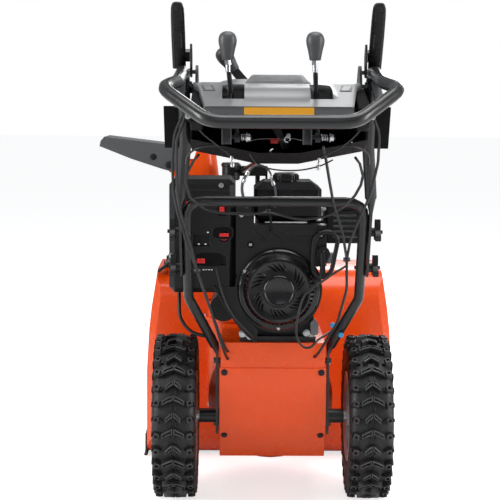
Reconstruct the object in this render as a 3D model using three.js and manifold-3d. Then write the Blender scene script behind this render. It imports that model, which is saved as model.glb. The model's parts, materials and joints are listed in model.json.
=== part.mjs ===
// A two stage snowblower, 24 inch class, as separate pieces on their real axes.
// Millimetres, +Z up, +Y the way it travels, +X the operator's right. The ground is z = 0.
// The origin is the middle of the scraper bar's lower face. Inside the group "machine" every
// place is measured from the point on the ground below the middle of the wheel axle.
import * as THREE from "three";
import { mergeVertices } from "three/addons/utils/BufferGeometryUtils.js";
import { ConvexGeometry } from "three/addons/geometries/ConvexGeometry.js";
import Module from "manifold-3d";

const wasm = await Module();
wasm.setup();

// ---------------------------------------------------------------- driving dimensions
const GAP = 0.3; // between pieces that touch
const RUN = 0.6; // radial clearance of a turning piece

const TYRE_R = 190.5; // 15 inch tyre
const TYRE_W = 100;
const TRACK = 444; // tyre centre to tyre centre
const RIM_R = 106;
const AXLE_R = 12.5;
const AXLE_TUBE_R = 17;

const SCRAPER_Y = 470; // axle to the scraper bar's middle
const SCRAPER_W = 40;
const SCRAPER_T = 6;

const HOUSING_W = 628;
const HOUSING_REAR = 318;
const HOUSING_FRONT = 655;
const HOUSING_TOP = 492;
const SHEET = 3.5; // steel sheet of the housing, drum and chute
const BACK_ARC = 112; // lower bend of the housing's back
const TOP_ARC = 80; // upper bend
const AUGER_Y = 480;
const AUGER_Z = 168;
const AUGER_R = 150;
const AUGER_SHAFT_R = 12.5;

const DRUM_R = 148;
const DRUM_Z = 205; // impeller axis
const DRUM_BACK = 150.3;
const IMPELLER_R = 143;
const IMPELLER_SHAFT_R = 9.5;

const CHUTE_X = -90;
const CHUTE_Y = 240;
const CHUTE_Z = 384; // top of the drum's neck
const NECK_R = 66;
const CHUTE_HALF = 66; // half the channel's width
const CHUTE_TOP = 800;
const DEFLECTOR_T = 4;
const PIVOT_X = -247; // deflector hinge
const PIVOT_Z = 767;

const PAN_W = 240; // belly pan
const BOX_W = 234; // chassis box
const BOX_REAR = -125;
const BOX_FRONT = 150;
const DECK_Z = 383;
const BOX_BOTTOM = 113;

const CRANK_X = 11;
const CRANK_Z = 507;
const SHROUD_REAR = -150;
const HEATER_REAR = -148;
const HEATER_X = [-232, -86];
const HEATER_Z = [498, 750];

const FRAME_TUBE_R = 11;
const FRAME_X = 188; // lower frame leg
const FRAME_BAR_Z = 712;
const LEG_BEND_Z = 490;
const LEG_BEND_Y = -165;
const LEAN = Math.tan(Math.PI / 6); // legs and uprights lean back 30 degrees
const HANDLE_TUBE_R = 12.5;
const FLAT_T = 5.4; // flattened tube end
const KNOB_Z = [563, 645];

const GRIP_X = 188;
const GRIP_Z = 966;
const CORNER_X = 213;
const CORNER_Z = 950;
const BAR_Y = -815;
const BAR_Z = 889;

const PANEL_W = 300; // console top
const PANEL_REAR = -700;
const PANEL_FRONT = -470;
const PANEL_REAR_Z = 913;
const PANEL_RISE = 56;
const SHELL_W = 462;
const DECK_TOP = 898; // where the console's top sits on its shell

const CABLE_R = 3;

// ---------------------------------------------------------------- materials
const finish = (color, roughness, metalness) =>
  new THREE.MeshStandardMaterial({ color, roughness, metalness });
const ORANGE = finish(0xf4511e, 0.3, 0.1);
const DARK_TUBE = finish(0x3a3d3f, 0.4, 0.5);
const BLACK_PLASTIC = finish(0x1c1c1e, 0.5, 0);
const GLOSS_BLACK = finish(0x111113, 0.15, 0);
const GREY_PLASTIC = finish(0x9a9c9e, 0.4, 0.3);
const DARK_PLASTIC = finish(0x45474a, 0.5, 0);
const RUBBER = finish(0x1a1a1a, 0.85, 0);
const STEEL = finish(0xb8babc, 0.35, 0.9);
const CAST = finish(0x6e7072, 0.6, 0.7);
const RED = finish(0xd8202a, 0.35, 0);
const RIM_WHITE = finish(0xc9cbcc, 0.4, 0.4);

// ---------------------------------------------------------------- solids
// A closed geometry as a manifold-3d solid, whichever way its profile ran.
function solid(geometry) {
  const loose = geometry.index ? geometry.toNonIndexed() : geometry.clone();
  loose.deleteAttribute("normal");
  loose.deleteAttribute("uv");
  const merged = mergeVertices(loose, 1e-4);
  const triVerts = new Uint32Array(merged.index.array);
  const vertProperties = new Float32Array(merged.attributes.position.array);
  const made = new wasm.Manifold(new wasm.Mesh({ numProp: 3, vertProperties, triVerts }));
  if (made.volume() > 0) return made;
  for (let i = 0; i < triVerts.length; i += 3) {
    [triVerts[i + 1], triVerts[i + 2]] = [triVerts[i + 2], triVerts[i + 1]];
  }
  return new wasm.Manifold(new wasm.Mesh({ numProp: 3, vertProperties, triVerts }));
}

const join = (first, ...rest) => rest.reduce((sum, next) => sum.add(next), first);
const cut = (first, ...tools) => tools.reduce((left, tool) => left.subtract(tool), first);
const common = (a, b) => a.intersect(b);

function box(x0, x1, y0, y1, z0, z1) {
  const g = new THREE.BoxGeometry(x1 - x0, y1 - y0, z1 - z0);
  return solid(g.translate((x0 + x1) / 2, (y0 + y1) / 2, (z0 + z1) / 2));
}

// Turns a geometry made along three.js's +Y onto an axis of the machine.
function alongAxis(geometry, axis, [a, b], from = 0) {
  if (axis === "y") return geometry.translate(a, from, b);
  if (axis === "z") return geometry.rotateX(Math.PI / 2).translate(a, b, from);
  return geometry.rotateZ(-Math.PI / 2).translate(from, a, b);
}

// A round bar from "from" to "to" on an axis through the point centre, which leaves that axis out.
function bar(axis, radius, from, to, centre, sides = 20, endRadius = radius) {
  const g = new THREE.CylinderGeometry(endRadius, radius, to - from, sides);
  return solid(alongAxis(g.translate(0, (to - from) / 2, 0), axis, centre, from));
}

// A turned piece: profile points are [radius, distance along the axis].
function turned(axis, profile, centre, sides = 32) {
  const points = profile.map(([r, a]) => new THREE.Vector2(r, a));
  return solid(alongAxis(new THREE.LatheGeometry(points, sides), axis, centre));
}

// A flat outline pushed along an axis. Points are (y,z) for x, (x,z) for y and (x,y) for z.
function prism(axis, outline, from, to) {
  const shape = outline instanceof THREE.Shape
    ? outline
    : new THREE.Shape(outline.map(([u, v]) => new THREE.Vector2(u, v)));
  const g = new THREE.ExtrudeGeometry(shape, {
    depth: to - from, bevelEnabled: false, curveSegments: 8,
  });
  const X = new THREE.Vector3(1, 0, 0);
  const Y = new THREE.Vector3(0, 1, 0);
  const Z = new THREE.Vector3(0, 0, 1);
  const turn = new THREE.Matrix4();
  if (axis === "x") turn.makeBasis(Y, Z, X).setPosition(from, 0, 0);
  if (axis === "y") turn.makeBasis(X, Z, Y.clone().negate()).setPosition(0, to, 0);
  if (axis === "z") turn.setPosition(0, 0, from);
  return solid(g.applyMatrix4(turn));
}

// The smallest convex body round some points.
const hull = (points) =>
  solid(new ConvexGeometry(points.map(([x, y, z]) => new THREE.Vector3(x, y, z))));

// A polyline whose corners are rounded, as a bent tube's centre line is.
function rounded(points, radius, steps = 5) {
  const corners = points.map((p) => new THREE.Vector3(...p));
  const line = [corners[0]];
  for (let i = 1; i < corners.length - 1; i++) {
    const back = corners[i - 1].clone().sub(corners[i]);
    const on = corners[i + 1].clone().sub(corners[i]);
    const half = back.angleTo(on) / 2;
    const reach = Math.min(radius / Math.tan(half), back.length() * 0.48, on.length() * 0.48);
    const start = corners[i].clone().addScaledVector(back.normalize(), reach);
    const end = corners[i].clone().addScaledVector(on.normalize(), reach);
    line.push(...new THREE.QuadraticBezierCurve3(start, corners[i], end).getPoints(steps));
  }
  line.push(corners.at(-1));
  return line;
}

// A path that an extrusion follows from point to point, with mitred corners.
class Route extends THREE.Curve {
  constructor(points) {
    super();
    this.points = points;
  }
  getPoint(t) {
    const last = this.points.length - 1;
    const i = Math.min(Math.floor(t * last + 1e-9), last - 1);
    return this.points[i].clone().lerp(this.points[i + 1], t * last - i);
  }
  getPointAt(u) {
    return this.getPoint(u);
  }
  getTangentAt(u) {
    const last = this.points.length - 1;
    const i = Math.round(u * last);
    const before = this.points[Math.max(i - 1, 0)];
    const here = this.points[i];
    const after = this.points[Math.min(i + 1, last)];
    const into = here.clone().sub(before).normalize();
    const out = after.clone().sub(here).normalize();
    return into.add(out).normalize();
  }
  getTangent(t) {
    return this.getTangentAt(t);
  }
  getSpacedPoints(count) {
    return Array.from({ length: count + 1 }, (_, i) => this.getPoint(i / count));
  }
}

// A section carried along a list of points.
function sweep(section, points) {
  const g = new THREE.ExtrudeGeometry(section, {
    steps: points.length - 1, extrudePath: new Route(points), curveSegments: 4,
  });
  return solid(g);
}

function roundSection(radius, sides) {
  const turn = (2 * Math.PI) / sides;
  const corners = Array.from({ length: sides }, (_, i) =>
    new THREE.Vector2(radius * Math.cos(i * turn), radius * Math.sin(i * turn)));
  return new THREE.Shape(corners);
}

// A bent round bar. A tube is left solid: only its outside shows.
const tube = (points, radius, bend = 0, sides = 12, steps = 5) =>
  sweep(roundSection(radius, sides), rounded(points, bend, steps));

const mirrored = (points) => points.map(([x, ...rest]) => [-x, ...rest]);
const circle = (u, v, r, from, to, steps) =>
  Array.from({ length: steps + 1 }, (_, i) => {
    const a = from + ((to - from) * i) / steps;
    return [u + r * Math.cos(a), v + r * Math.sin(a)];
  });

// ---------------------------------------------------------------- the scene graph
const machine = new THREE.Group();
machine.position.y = -SCRAPER_Y;

function piece(name, body, material, place = [0, 0, 0]) {
  const { vertProperties, triVerts } = body.getMesh();
  const g = new THREE.BufferGeometry();
  g.setAttribute("position", new THREE.BufferAttribute(new Float32Array(vertProperties), 3));
  g.setIndex(new THREE.BufferAttribute(new Uint32Array(triVerts), 1));
  g.computeVertexNormals();
  const mesh = new THREE.Mesh(g, material);
  mesh.name = name;
  mesh.position.set(...place);
  machine.add(mesh);
}

// A node and its mirror image across the middle plane.
function pair(name, make, material) {
  for (const side of [-1, 1]) piece(`${side < 0 ? "left" : "right"}_${name}`, make(side), material);
}

// ---------------------------------------------------------------- auger housing
// Half the housing's width at a height: upright below, drawn in towards the top.
const SIDE_STEPS = [[-40, 0], [230, 0], [341, 7], [396, 13], [475, 26], [560, 34]];
const CORNER_BEVEL = 26;
const CORNER_REACH = 54;
const TOP_BEVEL = 49;
const BEVEL_BREAK_Z = 330;

function housingSide(inset, open) {
  const back = HOUSING_REAR + inset;
  const low = SCRAPER_T + GAP + inset;
  const top = HOUSING_TOP - inset;
  const reach = SCRAPER_Y + 25;
  const outline = [[reach, low], [HOUSING_REAR + BACK_ARC, low]];
  outline.push(...circle(HOUSING_REAR + BACK_ARC, SCRAPER_T + GAP + BACK_ARC,
    BACK_ARC - inset, 1.5 * Math.PI, Math.PI, 8));
  outline.push(...circle(HOUSING_REAR + TOP_ARC, HOUSING_TOP - TOP_ARC,
    TOP_ARC - inset, Math.PI, 0.5 * Math.PI, 6));
  if (open) outline.push([HOUSING_FRONT + 60, top], [HOUSING_FRONT + 60, -30], [reach, -30]);
  else outline.push([HOUSING_FRONT - 55, top], [HOUSING_FRONT - 30, top - 40],
    [HOUSING_FRONT, top - 150], [HOUSING_FRONT, 80], [HOUSING_FRONT - 45, 14], [reach, 14]);
  return { outline, back };
}

function housingBody(inset, open) {
  const { outline, back } = housingSide(inset, open);
  const half = HOUSING_W / 2 - inset;
  const right = SIDE_STEPS.map(([z, draw]) => [half - draw, z]);
  const elevation = [...right, ...mirrored(right).reverse()];
  const body = common(
    prism("x", outline, -HOUSING_W, HOUSING_W),
    prism("y", elevation, back - 10, HOUSING_FRONT + 90),
  );
  return cut(body, ...[-1, 1].flatMap((side) => {
    const wedge = (z, bevel, reach) => [
      [side * (half - bevel), back - 1, z], [side * (half + 9), back - 1, z],
      [side * (half + 9), back + reach, z],
    ];
    const low = wedge(-40, CORNER_BEVEL, CORNER_REACH);
    const middle = wedge(BEVEL_BREAK_Z, CORNER_BEVEL, CORNER_REACH);
    const high = wedge(HOUSING_TOP + 10, TOP_BEVEL, CORNER_REACH + 40);
    return [hull([...low, ...middle]), hull([...middle, ...high])];
  }));
}

function augerHousing() {
  const lip = box(-HOUSING_W / 2 + 40, HOUSING_W / 2 - 40, HOUSING_FRONT - 59,
    HOUSING_FRONT - 55, HOUSING_TOP - 20, HOUSING_TOP - 1);
  const shell = join(cut(housingBody(0, false), housingBody(SHEET, true)), lip);
  return cut(shell,
    bar("y", DRUM_R, HOUSING_REAR - 20, HOUSING_REAR + 20, [0, DRUM_Z], 36),
    bar("x", AUGER_SHAFT_R + RUN, -HOUSING_W, HOUSING_W, [AUGER_Y, AUGER_Z]),
  );
}
piece("auger_housing", augerHousing(), ORANGE);

function impellerDrum() {
  const wall = bar("y", DRUM_R + SHEET, DRUM_BACK, HOUSING_REAR - GAP, [0, DRUM_Z], 36);
  const neck = bar("z", NECK_R, DRUM_Z, CHUTE_Z, [CHUTE_X, CHUTE_Y], 28);
  const throat = bar("z", NECK_R - SHEET, DRUM_Z, CHUTE_Z + 9, [CHUTE_X, CHUTE_Y], 28);
  const inside = bar("y", DRUM_R, DRUM_BACK + SHEET, HOUSING_REAR + 9, [0, DRUM_Z], 36);
  const shaftHole = bar("y", IMPELLER_SHAFT_R + RUN, DRUM_BACK - 9, HOUSING_REAR, [0, DRUM_Z]);
  return cut(join(wall, neck, postFoot()), inside, throat, shaftHole);
}

// The chute's drive post stands in a boss on the drum, beside the neck.
const POST = [-34, 166];
const POST_R = 6;
const RING_R = 75; // rim of the chute's turning ring
const PINION_R = Math.hypot(POST[0] - CHUTE_X, POST[1] - CHUTE_Y) - RING_R - GAP;
const postFoot = () => bar("z", POST_R + 3.5, DRUM_Z + DRUM_R - 6, CHUTE_Z - GAP - 3, POST, 12);
piece("impeller_drum", impellerDrum(), ORANGE);

const scraper = () => box(-HOUSING_W / 2 + 4, HOUSING_W / 2 - 4,
  SCRAPER_Y - SCRAPER_W / 2, SCRAPER_Y + SCRAPER_W / 2, 0, SCRAPER_T);
piece("scraper_bar", scraper(), DARK_TUBE);

const SHOE_T = 5;
const SOLE_W = 9;
function skidShoe(side) {
  const x0 = HOUSING_W / 2 + GAP;
  const wall = prism("x", [[370, 14], [385, 0], [560, 0], [585, 22], [585, 62], [370, 62]],
    side < 0 ? -x0 - SHOE_T : x0, side < 0 ? -x0 : x0 + SHOE_T);
  const foot = box(side < 0 ? -x0 - SOLE_W : x0, side < 0 ? -x0 : x0 + SOLE_W, 385, 560, 0, SHOE_T);
  return join(wall, foot);
}
pair("skid_shoe", skidShoe, DARK_TUBE);

// ---------------------------------------------------------------- first stage: augers
// The worm runs on top of its wheel, so the impeller's axis lies above the auger's.
const WORM_R = IMPELLER_SHAFT_R;
const WHEEL_R = DRUM_Z - AUGER_Z - WORM_R - GAP;
const augerEnd = HOUSING_W / 2 + 6;
const GEARBOX_W = 96;
const HUB_R = 21;

function augerShaft() {
  const shaft = bar("x", AUGER_SHAFT_R, -augerEnd, augerEnd, [AUGER_Y, AUGER_Z], 16);
  const wheel = bar("x", WHEEL_R, -9, 9, [AUGER_Y, AUGER_Z], 16);
  return join(shaft, wheel);
}
piece("auger_shaft", augerShaft(), STEEL);

// A ribbon twisted round the shaft: a strip whose angle grows along its length.
function ribbon(from, to, inner, outer, thick, turns, start, steps) {
  const g = new THREE.BoxGeometry(to - from, outer - inner, thick, steps, 1, 1);
  g.translate((from + to) / 2, (inner + outer) / 2, 0);
  const p = g.attributes.position;
  for (let i = 0; i < p.count; i++) {
    const angle = start + ((p.getX(i) - from) / (to - from)) * turns * 2 * Math.PI;
    const [y, z] = [p.getY(i), p.getZ(i)];
    p.setXYZ(i, p.getX(i), y * Math.cos(angle) - z * Math.sin(angle) + AUGER_Y,
      y * Math.sin(angle) + z * Math.cos(angle) + AUGER_Z);
  }
  return solid(g);
}

const AUGER_TURNS = 1.1;
const RIBBON_W = 44;
const AUGER_IN = GEARBOX_W / 2 + 8;
const AUGER_OUT = HOUSING_W / 2 - SHEET - 12;
const RIBBON_IN = AUGER_IN + 6;
const RIBBON_OUT = HOUSING_W / 2 - CORNER_BEVEL - 14;

function auger(side) {
  const [from, to] = side < 0 ? [-AUGER_OUT, -AUGER_IN] : [AUGER_IN, AUGER_OUT];
  const [low, high] = side < 0 ? [-RIBBON_OUT, -RIBBON_IN] : [RIBBON_IN, RIBBON_OUT];
  const strip = (start) => ribbon(low, high, AUGER_R - RIBBON_W, AUGER_R - 1, 9,
    side * AUGER_TURNS, start, 14);
  const hub = bar("x", HUB_R, from, to, [AUGER_Y, AUGER_Z], 14);
  const parts = [hub, strip(0), strip(Math.PI)];
  for (const share of [0.1, 0.5, 0.9]) {
    const x = low + (high - low) * share;
    const g = new THREE.BoxGeometry(8, 2 * (AUGER_R - 12), 16);
    g.rotateX(side * AUGER_TURNS * 2 * Math.PI * share).translate(x, AUGER_Y, AUGER_Z);
    parts.push(solid(g));
  }
  return cut(join(...parts),
    bar("x", AUGER_SHAFT_R + GAP, from - 5, to + 5, [AUGER_Y, AUGER_Z], 16));
}
pair("auger", auger, DARK_TUBE);

function augerGearbox() {
  const wheelCase = turned("x", [[0, -GEARBOX_W / 2], [24, -GEARBOX_W / 2], [28, -22], [50, -18],
    [50, 18], [28, 22], [24, GEARBOX_W / 2], [0, GEARBOX_W / 2]], [AUGER_Y, AUGER_Z], 18);
  const worm = bar("y", 25, 385, AUGER_Y + 62, [0, DRUM_Z], 16);
  const inside = join(
    bar("x", WHEEL_R + RUN + 1, -9 - RUN, 9 + RUN, [AUGER_Y, AUGER_Z], 16),
    bar("x", AUGER_SHAFT_R + RUN, -90, 90, [AUGER_Y, AUGER_Z], 16),
    bar("y", WORM_R + RUN, 370, AUGER_Y + 50 + RUN, [0, DRUM_Z], 16),
  );
  return cut(join(wheelCase, worm), inside);
}

piece("auger_gearbox", augerGearbox(), CAST);

// ---------------------------------------------------------------- second stage: impeller
const IMPELLER_FRONT = 306;
const IMPELLER_REAR = 112; // shaft end behind the auger pulley

function impeller() {
  const shaft = bar("y", IMPELLER_SHAFT_R, IMPELLER_REAR, AUGER_Y + 50, [0, DRUM_Z], 16);
  const disc = bar("y", 62, 190, 195, [0, DRUM_Z], 20);
  const hub = bar("y", 20, 186, 270, [0, DRUM_Z], 12);
  const parts = [shaft, disc, hub];
  for (let i = 0; i < 4; i++) {
    const blade = prism("x", [[190, 14], [IMPELLER_FRONT - 40, 14], [IMPELLER_FRONT, 60],
      [IMPELLER_FRONT, IMPELLER_R], [186, IMPELLER_R], [186, 14]], -3, 3);
    parts.push(turnedAbout(blade, i * 90 + 45));
  }
  return join(...parts);
}

// A copy turned about the impeller's axis.
function turnedAbout(body, degrees) {
  const { vertProperties, triVerts } = body.getMesh();
  const g = new THREE.BufferGeometry();
  g.setAttribute("position", new THREE.BufferAttribute(new Float32Array(vertProperties), 3));
  g.setIndex(new THREE.BufferAttribute(new Uint32Array(triVerts), 1));
  g.rotateY(THREE.MathUtils.degToRad(degrees)).translate(0, 0, DRUM_Z);
  return solid(g);
}
piece("impeller", impeller(), ORANGE);

// ---------------------------------------------------------------- chute
const CHANNEL_BACK = 66; // centre line to the channel's back
const BEND_Z = 444; // below it the channel clears the housing's back as it turns
const CHUTE_LINE = [[CHUTE_X, CHUTE_Y, CHUTE_Z + 14], [CHUTE_X - 3, CHUTE_Y, 442],
  [-125, CHUTE_Y, 520], [-165, CHUTE_Y, 630], [-193, CHUTE_Y, 720], [-206, CHUTE_Y, 816]];

function channelSection(half, back, depth, corner) {
  const s = new THREE.Shape();
  s.moveTo(-half, -depth);
  s.lineTo(half, -depth);
  for (const [u, v] of [...circle(half - corner, back - corner, corner, 0, Math.PI / 2, 3),
    ...circle(corner - half, back - corner, corner, Math.PI / 2, Math.PI, 3)]) s.lineTo(u, v);
  return s;
}

// The back of the chute's foot runs from the round collar up to where the channel's back starts.
const COLLAR_TOP = CHUTE_Z + 46;
const FOOT_BACK = -60; // right face of the foot where it meets the channel
const FOOT_TOP = 540;
const FOOT_CORNER = 30;
function chuteFoot() {
  const shape = (inset, open, past) => {
    const low = circle(CHUTE_X, CHUTE_Y, NECK_R - inset, -Math.PI / 2, Math.PI / 2, 14);
    const corner = FOOT_CORNER - inset;
    const reach = CHUTE_HALF - FOOT_CORNER;
    const high = [
      ...circle(FOOT_BACK - FOOT_CORNER, CHUTE_Y - reach, corner, -Math.PI / 2, 0, 4),
      ...circle(FOOT_BACK - FOOT_CORNER, CHUTE_Y + reach, corner, 0, Math.PI / 2, 4)];
    const half = CHUTE_HALF - inset;
    const side = [[CHUTE_X - open, CHUTE_Y - half], [CHUTE_X - open, CHUTE_Y + half]];
    return hull([...[...low, ...side].map(([x, y]) => [x, y, COLLAR_TOP - 8 - past]),
      ...[...high, ...side].map(([x, y]) => [x, y, FOOT_TOP + past])]);
  };
  return cut(shape(0, 0, 0), shape(SHEET, 40, 1));
}

function chute() {
  const line = CHUTE_LINE.map((p) => new THREE.Vector3(...p));
  const floor = CHUTE_Z + GAP;
  const clearance = join(bar("z", RING_R, floor - 9, BEND_Z, [CHUTE_X, CHUTE_Y], 36),
    box(-400, 100, 0, HOUSING_REAR + 200, BEND_Z - 1, CHUTE_TOP + 50));
  const outer = common(clearance,
    sweep(channelSection(CHUTE_HALF, CHANNEL_BACK, 50, 30), line));
  const inner = sweep(channelSection(CHUTE_HALF - SHEET, CHANNEL_BACK - SHEET, 80, 27), line);
  const ring = bar("z", RING_R, floor, floor + 7, [CHUTE_X, CHUTE_Y], 28);
  const collar = bar("z", NECK_R, floor, COLLAR_TOP, [CHUTE_X, CHUTE_Y], 28);
  const bore = bar("z", NECK_R - SHEET, floor - 5, COLLAR_TOP + 1, [CHUTE_X, CHUTE_Y], 28);
  const trim = prism("y", [[-60, 300], [-60, CHUTE_TOP + 4], [-182, CHUTE_TOP], [-190, 776],
    [-212, 776], [-222, 792], [PIVOT_X, 800], [-262, 790], [-262, 757], [-236, 745], [-231, 720],
    [-203, 630], [-163, 520], [-140, 445], [-140, 300]], 0, 600);
  const pins = bar("y", 5, CHUTE_Y - CHUTE_HALF - 11, CHUTE_Y + CHUTE_HALF + 11,
    [PIVOT_X, PIVOT_Z], 12);
  const clear = box(-400, 100, CHUTE_Y - CHUTE_HALF + SHEET, CHUTE_Y + CHUTE_HALF - SHEET,
    700, 830);
  return join(cut(join(cut(common(outer, trim), inner), ring, collar, chuteFoot()), bore),
    cut(pins, clear));
}
piece("chute", chute(), ORANGE);

const SKIRT = CHUTE_HALF + 1.5; // inside of the deflector's skirts
function deflector() {
  const outline = [[-403, 834], [-412, 824], [-415, 811], [-339, 781], [-262, 756], [-238, 750],
    [-214, 764], [-200, 802], [-222, 814], [-257, 817]];
  const under = [[-430, 800], [-416, 824], [-402, 829], [-257, 812.5], [-222, 809.5],
    [-190, 795], [-190, 700], [-430, 700]];
  const whole = prism("y", outline, CHUTE_Y - SKIRT - DEFLECTOR_T, CHUTE_Y + SKIRT + DEFLECTOR_T);
  const hollow = prism("y", under, CHUTE_Y - SKIRT, CHUTE_Y + SKIRT);
  const hole = bar("y", 5 + RUN, CHUTE_Y - 100, CHUTE_Y + 100, [PIVOT_X, PIVOT_Z], 12);
  return cut(whole, hollow, hole);
}
piece("deflector", deflector(), DARK_PLASTIC);

// Shaft with its pinion, standing in the boss, and the bracket that holds its top.
const HEAD_Z = [742, 766];
function chuteDrive() {
  const base = CHUTE_Z + GAP;
  return join(bar("z", POST_R - GAP, base, HEAD_Z[1] - 6, POST, 12),
    bar("z", PINION_R, base, base + 7, POST, 18));
}
piece("chute_drive", chuteDrive(), STEEL);

function chuteBracket() {
  const head = prism("z", [[-118, 146], [-10, 146], [-10, 173], [-60, 173], [-118, 164]],
    HEAD_Z[0], HEAD_Z[1]);
  const post = box(-15.5, -10, 152, 170, DRUM_Z + DRUM_R + SHEET + GAP, HEAD_Z[1]);
  return cut(join(head, post), bar("z", POST_R + GAP, DECK_Z, HEAD_Z[1] - 5.5, POST, 12));
}
piece("chute_bracket", chuteBracket(), BLACK_PLASTIC);

// ---------------------------------------------------------------- chassis
const BOX_T = 3;
const HALF_BOX = BOX_W / 2;
const DISC_Z = 300; // friction disc and its wheel
const WHEEL_GAP = 0.5; // friction wheel to disc, out of drive
const DISC_REAR = 80;
const FRICTION_R = 50;
const HEX_Y = DISC_REAR - WHEEL_GAP - FRICTION_R;
const HEX_R = 9.5;
const CABLE_HOLES = [[-102, 364], [-102, 347], [94, 352]];
const KNEE_Z = 205; // below it the pan slopes forward
const SLOPE_Y = -61.5;

function chassisBox() {
  const outline = [[BOX_REAR, DECK_Z], [BOX_REAR, KNEE_Z], [SLOPE_Y, BOX_BOTTOM + 0.4],
    [BOX_FRONT, BOX_BOTTOM + 0.4], [BOX_FRONT, DECK_Z]];
  const hollow = [[BOX_REAR + BOX_T, DECK_Z - BOX_T], [BOX_REAR + BOX_T, KNEE_Z],
    [BOX_REAR - 40, KNEE_Z], [BOX_REAR - 40, BOX_BOTTOM - 40],
    [BOX_FRONT - BOX_T, BOX_BOTTOM - 40], [BOX_FRONT - BOX_T, DECK_Z - BOX_T]];
  const shell = cut(prism("x", outline, -HALF_BOX, HALF_BOX),
    prism("x", hollow, -HALF_BOX + BOX_T, HALF_BOX - BOX_T));
  const sleeves = [-1, 1].map((side) => bar("x", AXLE_TUBE_R,
    side < 0 ? -SLEEVE_END : HALF_BOX - BOX_T, side < 0 ? -HALF_BOX + BOX_T : SLEEVE_END,
    [0, TYRE_R], 14));
  return cut(join(shell, ...sleeves),
    bar("x", AXLE_R + RUN, -SLEEVE_END - 1, SLEEVE_END + 1, [0, TYRE_R], 14),
    bar("x", HEX_R + RUN, -HALF_BOX - 1, HALF_BOX + 1, [HEX_Y, DISC_Z], 12),
    bar("y", DISC_SHAFT_R + RUN, BOX_FRONT - 9, BOX_FRONT + 1, [0, DISC_Z], 12),
    bar("y", IMPELLER_SHAFT_R + RUN, BOX_FRONT - 9, BOX_FRONT + 1, [0, DRUM_Z], 12),
    box(-72, 76, DRIVE_BELT_Y[0] - 4, AUGER_BELT_Y[1] + 4, DECK_Z - 9, DECK_Z + 1),
    ...CABLE_HOLES.map((at) => bar("y", CABLE_R + 2 * GAP, BOX_REAR - 1, BOX_REAR + 9, at, 8)),
  );
}
const SLEEVE_END = 168;
const DISC_SHAFT_R = 8;
const DRIVE_BELT_Y = [100, 114];
const AUGER_BELT_Y = [120, 136];
piece("chassis_box", chassisBox(), ORANGE);

function bellyPan() {
  const [rear, low] = [BOX_REAR - GAP, BOX_BOTTOM - GAP];
  const outline = [[rear, 326], [rear, KNEE_Z - 1], [SLOPE_Y - 1, low], [140, low],
    [140, low - BOX_T], [SLOPE_Y - 2.5, low - BOX_T], [rear - BOX_T, KNEE_Z - 2],
    [rear - BOX_T, 326]];
  return prism("x", outline, -PAN_W / 2, PAN_W / 2);
}
piece("belly_pan", bellyPan(), ORANGE);

const COVER_REAR = 87;
const COVER_FRONT = 146;
function beltCover() {
  const shape = (inset) => {
    const half = 78 - inset;
    return [[-half, DECK_Z + GAP - (inset ? 9 : 0)], [half, DECK_Z + GAP - (inset ? 9 : 0)],
      ...circle(CRANK_X / 2, CRANK_Z + 3, 64 - inset, 0, Math.PI, 10)];
  };
  const shell = cut(prism("y", shape(0), COVER_REAR, COVER_FRONT),
    prism("y", shape(BOX_T), COVER_REAR - 9, COVER_FRONT - BOX_T));
  return shell;
}
piece("belt_cover", beltCover(), BLACK_PLASTIC);

// ---------------------------------------------------------------- wheels
const LUGS = 12; // chevrons round the tyre
const PITCH = (2 * Math.PI) / LUGS;
const CARCASS_R = 179;
const SEAT_R = 84; // tyre seat on the rim

function rim(side) {
  const x = (side * TRACK) / 2;
  const profile = [[AXLE_R + GAP, -48], [24, -48], [24, -4], [80, -4], [80, -43],
    [RIM_R, -48], [RIM_R, -45], [SEAT_R, -40], [SEAT_R, 40], [RIM_R, 45], [RIM_R, 48],
    [80, 43], [80, 4], [AXLE_R + GAP, 4], [AXLE_R + GAP, -48]];
  return turned("x", profile.map(([r, a]) => [r, x + side * a]), [0, TYRE_R], 18);
}
pair("rim", rim, RIM_WHITE);

// A closed body through rings of points: each ring runs round the body's own axis.
function loft(rings) {
  const count = rings[0].length;
  const corner = (i, j) => rings[i % rings.length][j % count];
  const flat = [];
  for (let i = 0; i < rings.length; i++) {
    for (let j = 0; j < count; j++) {
      const [a, b, c, d] = [corner(i, j), corner(i + 1, j), corner(i + 1, j + 1), corner(i, j + 1)];
      flat.push(...a, ...b, ...c, ...a, ...c, ...d);
    }
  }
  const g = new THREE.BufferGeometry();
  g.setAttribute("position", new THREE.BufferAttribute(new Float32Array(flat), 3));
  return solid(g);
}

// One ring of the tyre: lug tops and the tread between them, turned by a share of the pitch.
function treadRing(x, offset, top, root, turn) {
  return Array.from({ length: LUGS }, (_, i) => [[0, top], [0.4, top], [0.5, root], [0.9, root]]
    .map(([share, r]) => {
      const a = -Math.PI / 2 + (i + share + turn) * PITCH;
      return [x + offset, r * Math.cos(a), TYRE_R + r * Math.sin(a)];
    })).flat();
}

function tyre(side) {
  const x = (side * TRACK) / 2;
  const half = TYRE_W / 2;
  const bead = (SEAT_R + GAP) / Math.cos(0.2 * PITCH);
  const rings = [[half - 5.5, RIM_R + 2, RIM_R + 2, 0.6], [half, 180, 171, 0.6],
    [half - 12, TYRE_R, CARCASS_R, 0.5], [0, TYRE_R, CARCASS_R, 0], [12 - half, TYRE_R, CARCASS_R, 0.5],
    [-half, 180, 171, 0.6], [5.5 - half, RIM_R + 2, RIM_R + 2, 0.6], [-36, bead, bead, 0.5],
    [0, 164, 164, 0], [36, bead, bead, 0.5]];
  return loft(rings.map(([offset, top, root, turn]) => treadRing(x, offset, top, root, turn)));
}
pair("tyre", tyre, RUBBER);

// ---------------------------------------------------------------- drive
const GEAR_R = 70;
const GEAR_X = [-92, -82];
const PINION_SHAFT_R = Math.hypot(HEX_Y, DISC_Z - TYRE_R) - GEAR_R - GAP;
const HALF_AXLE = TRACK / 2 + 46;

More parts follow.
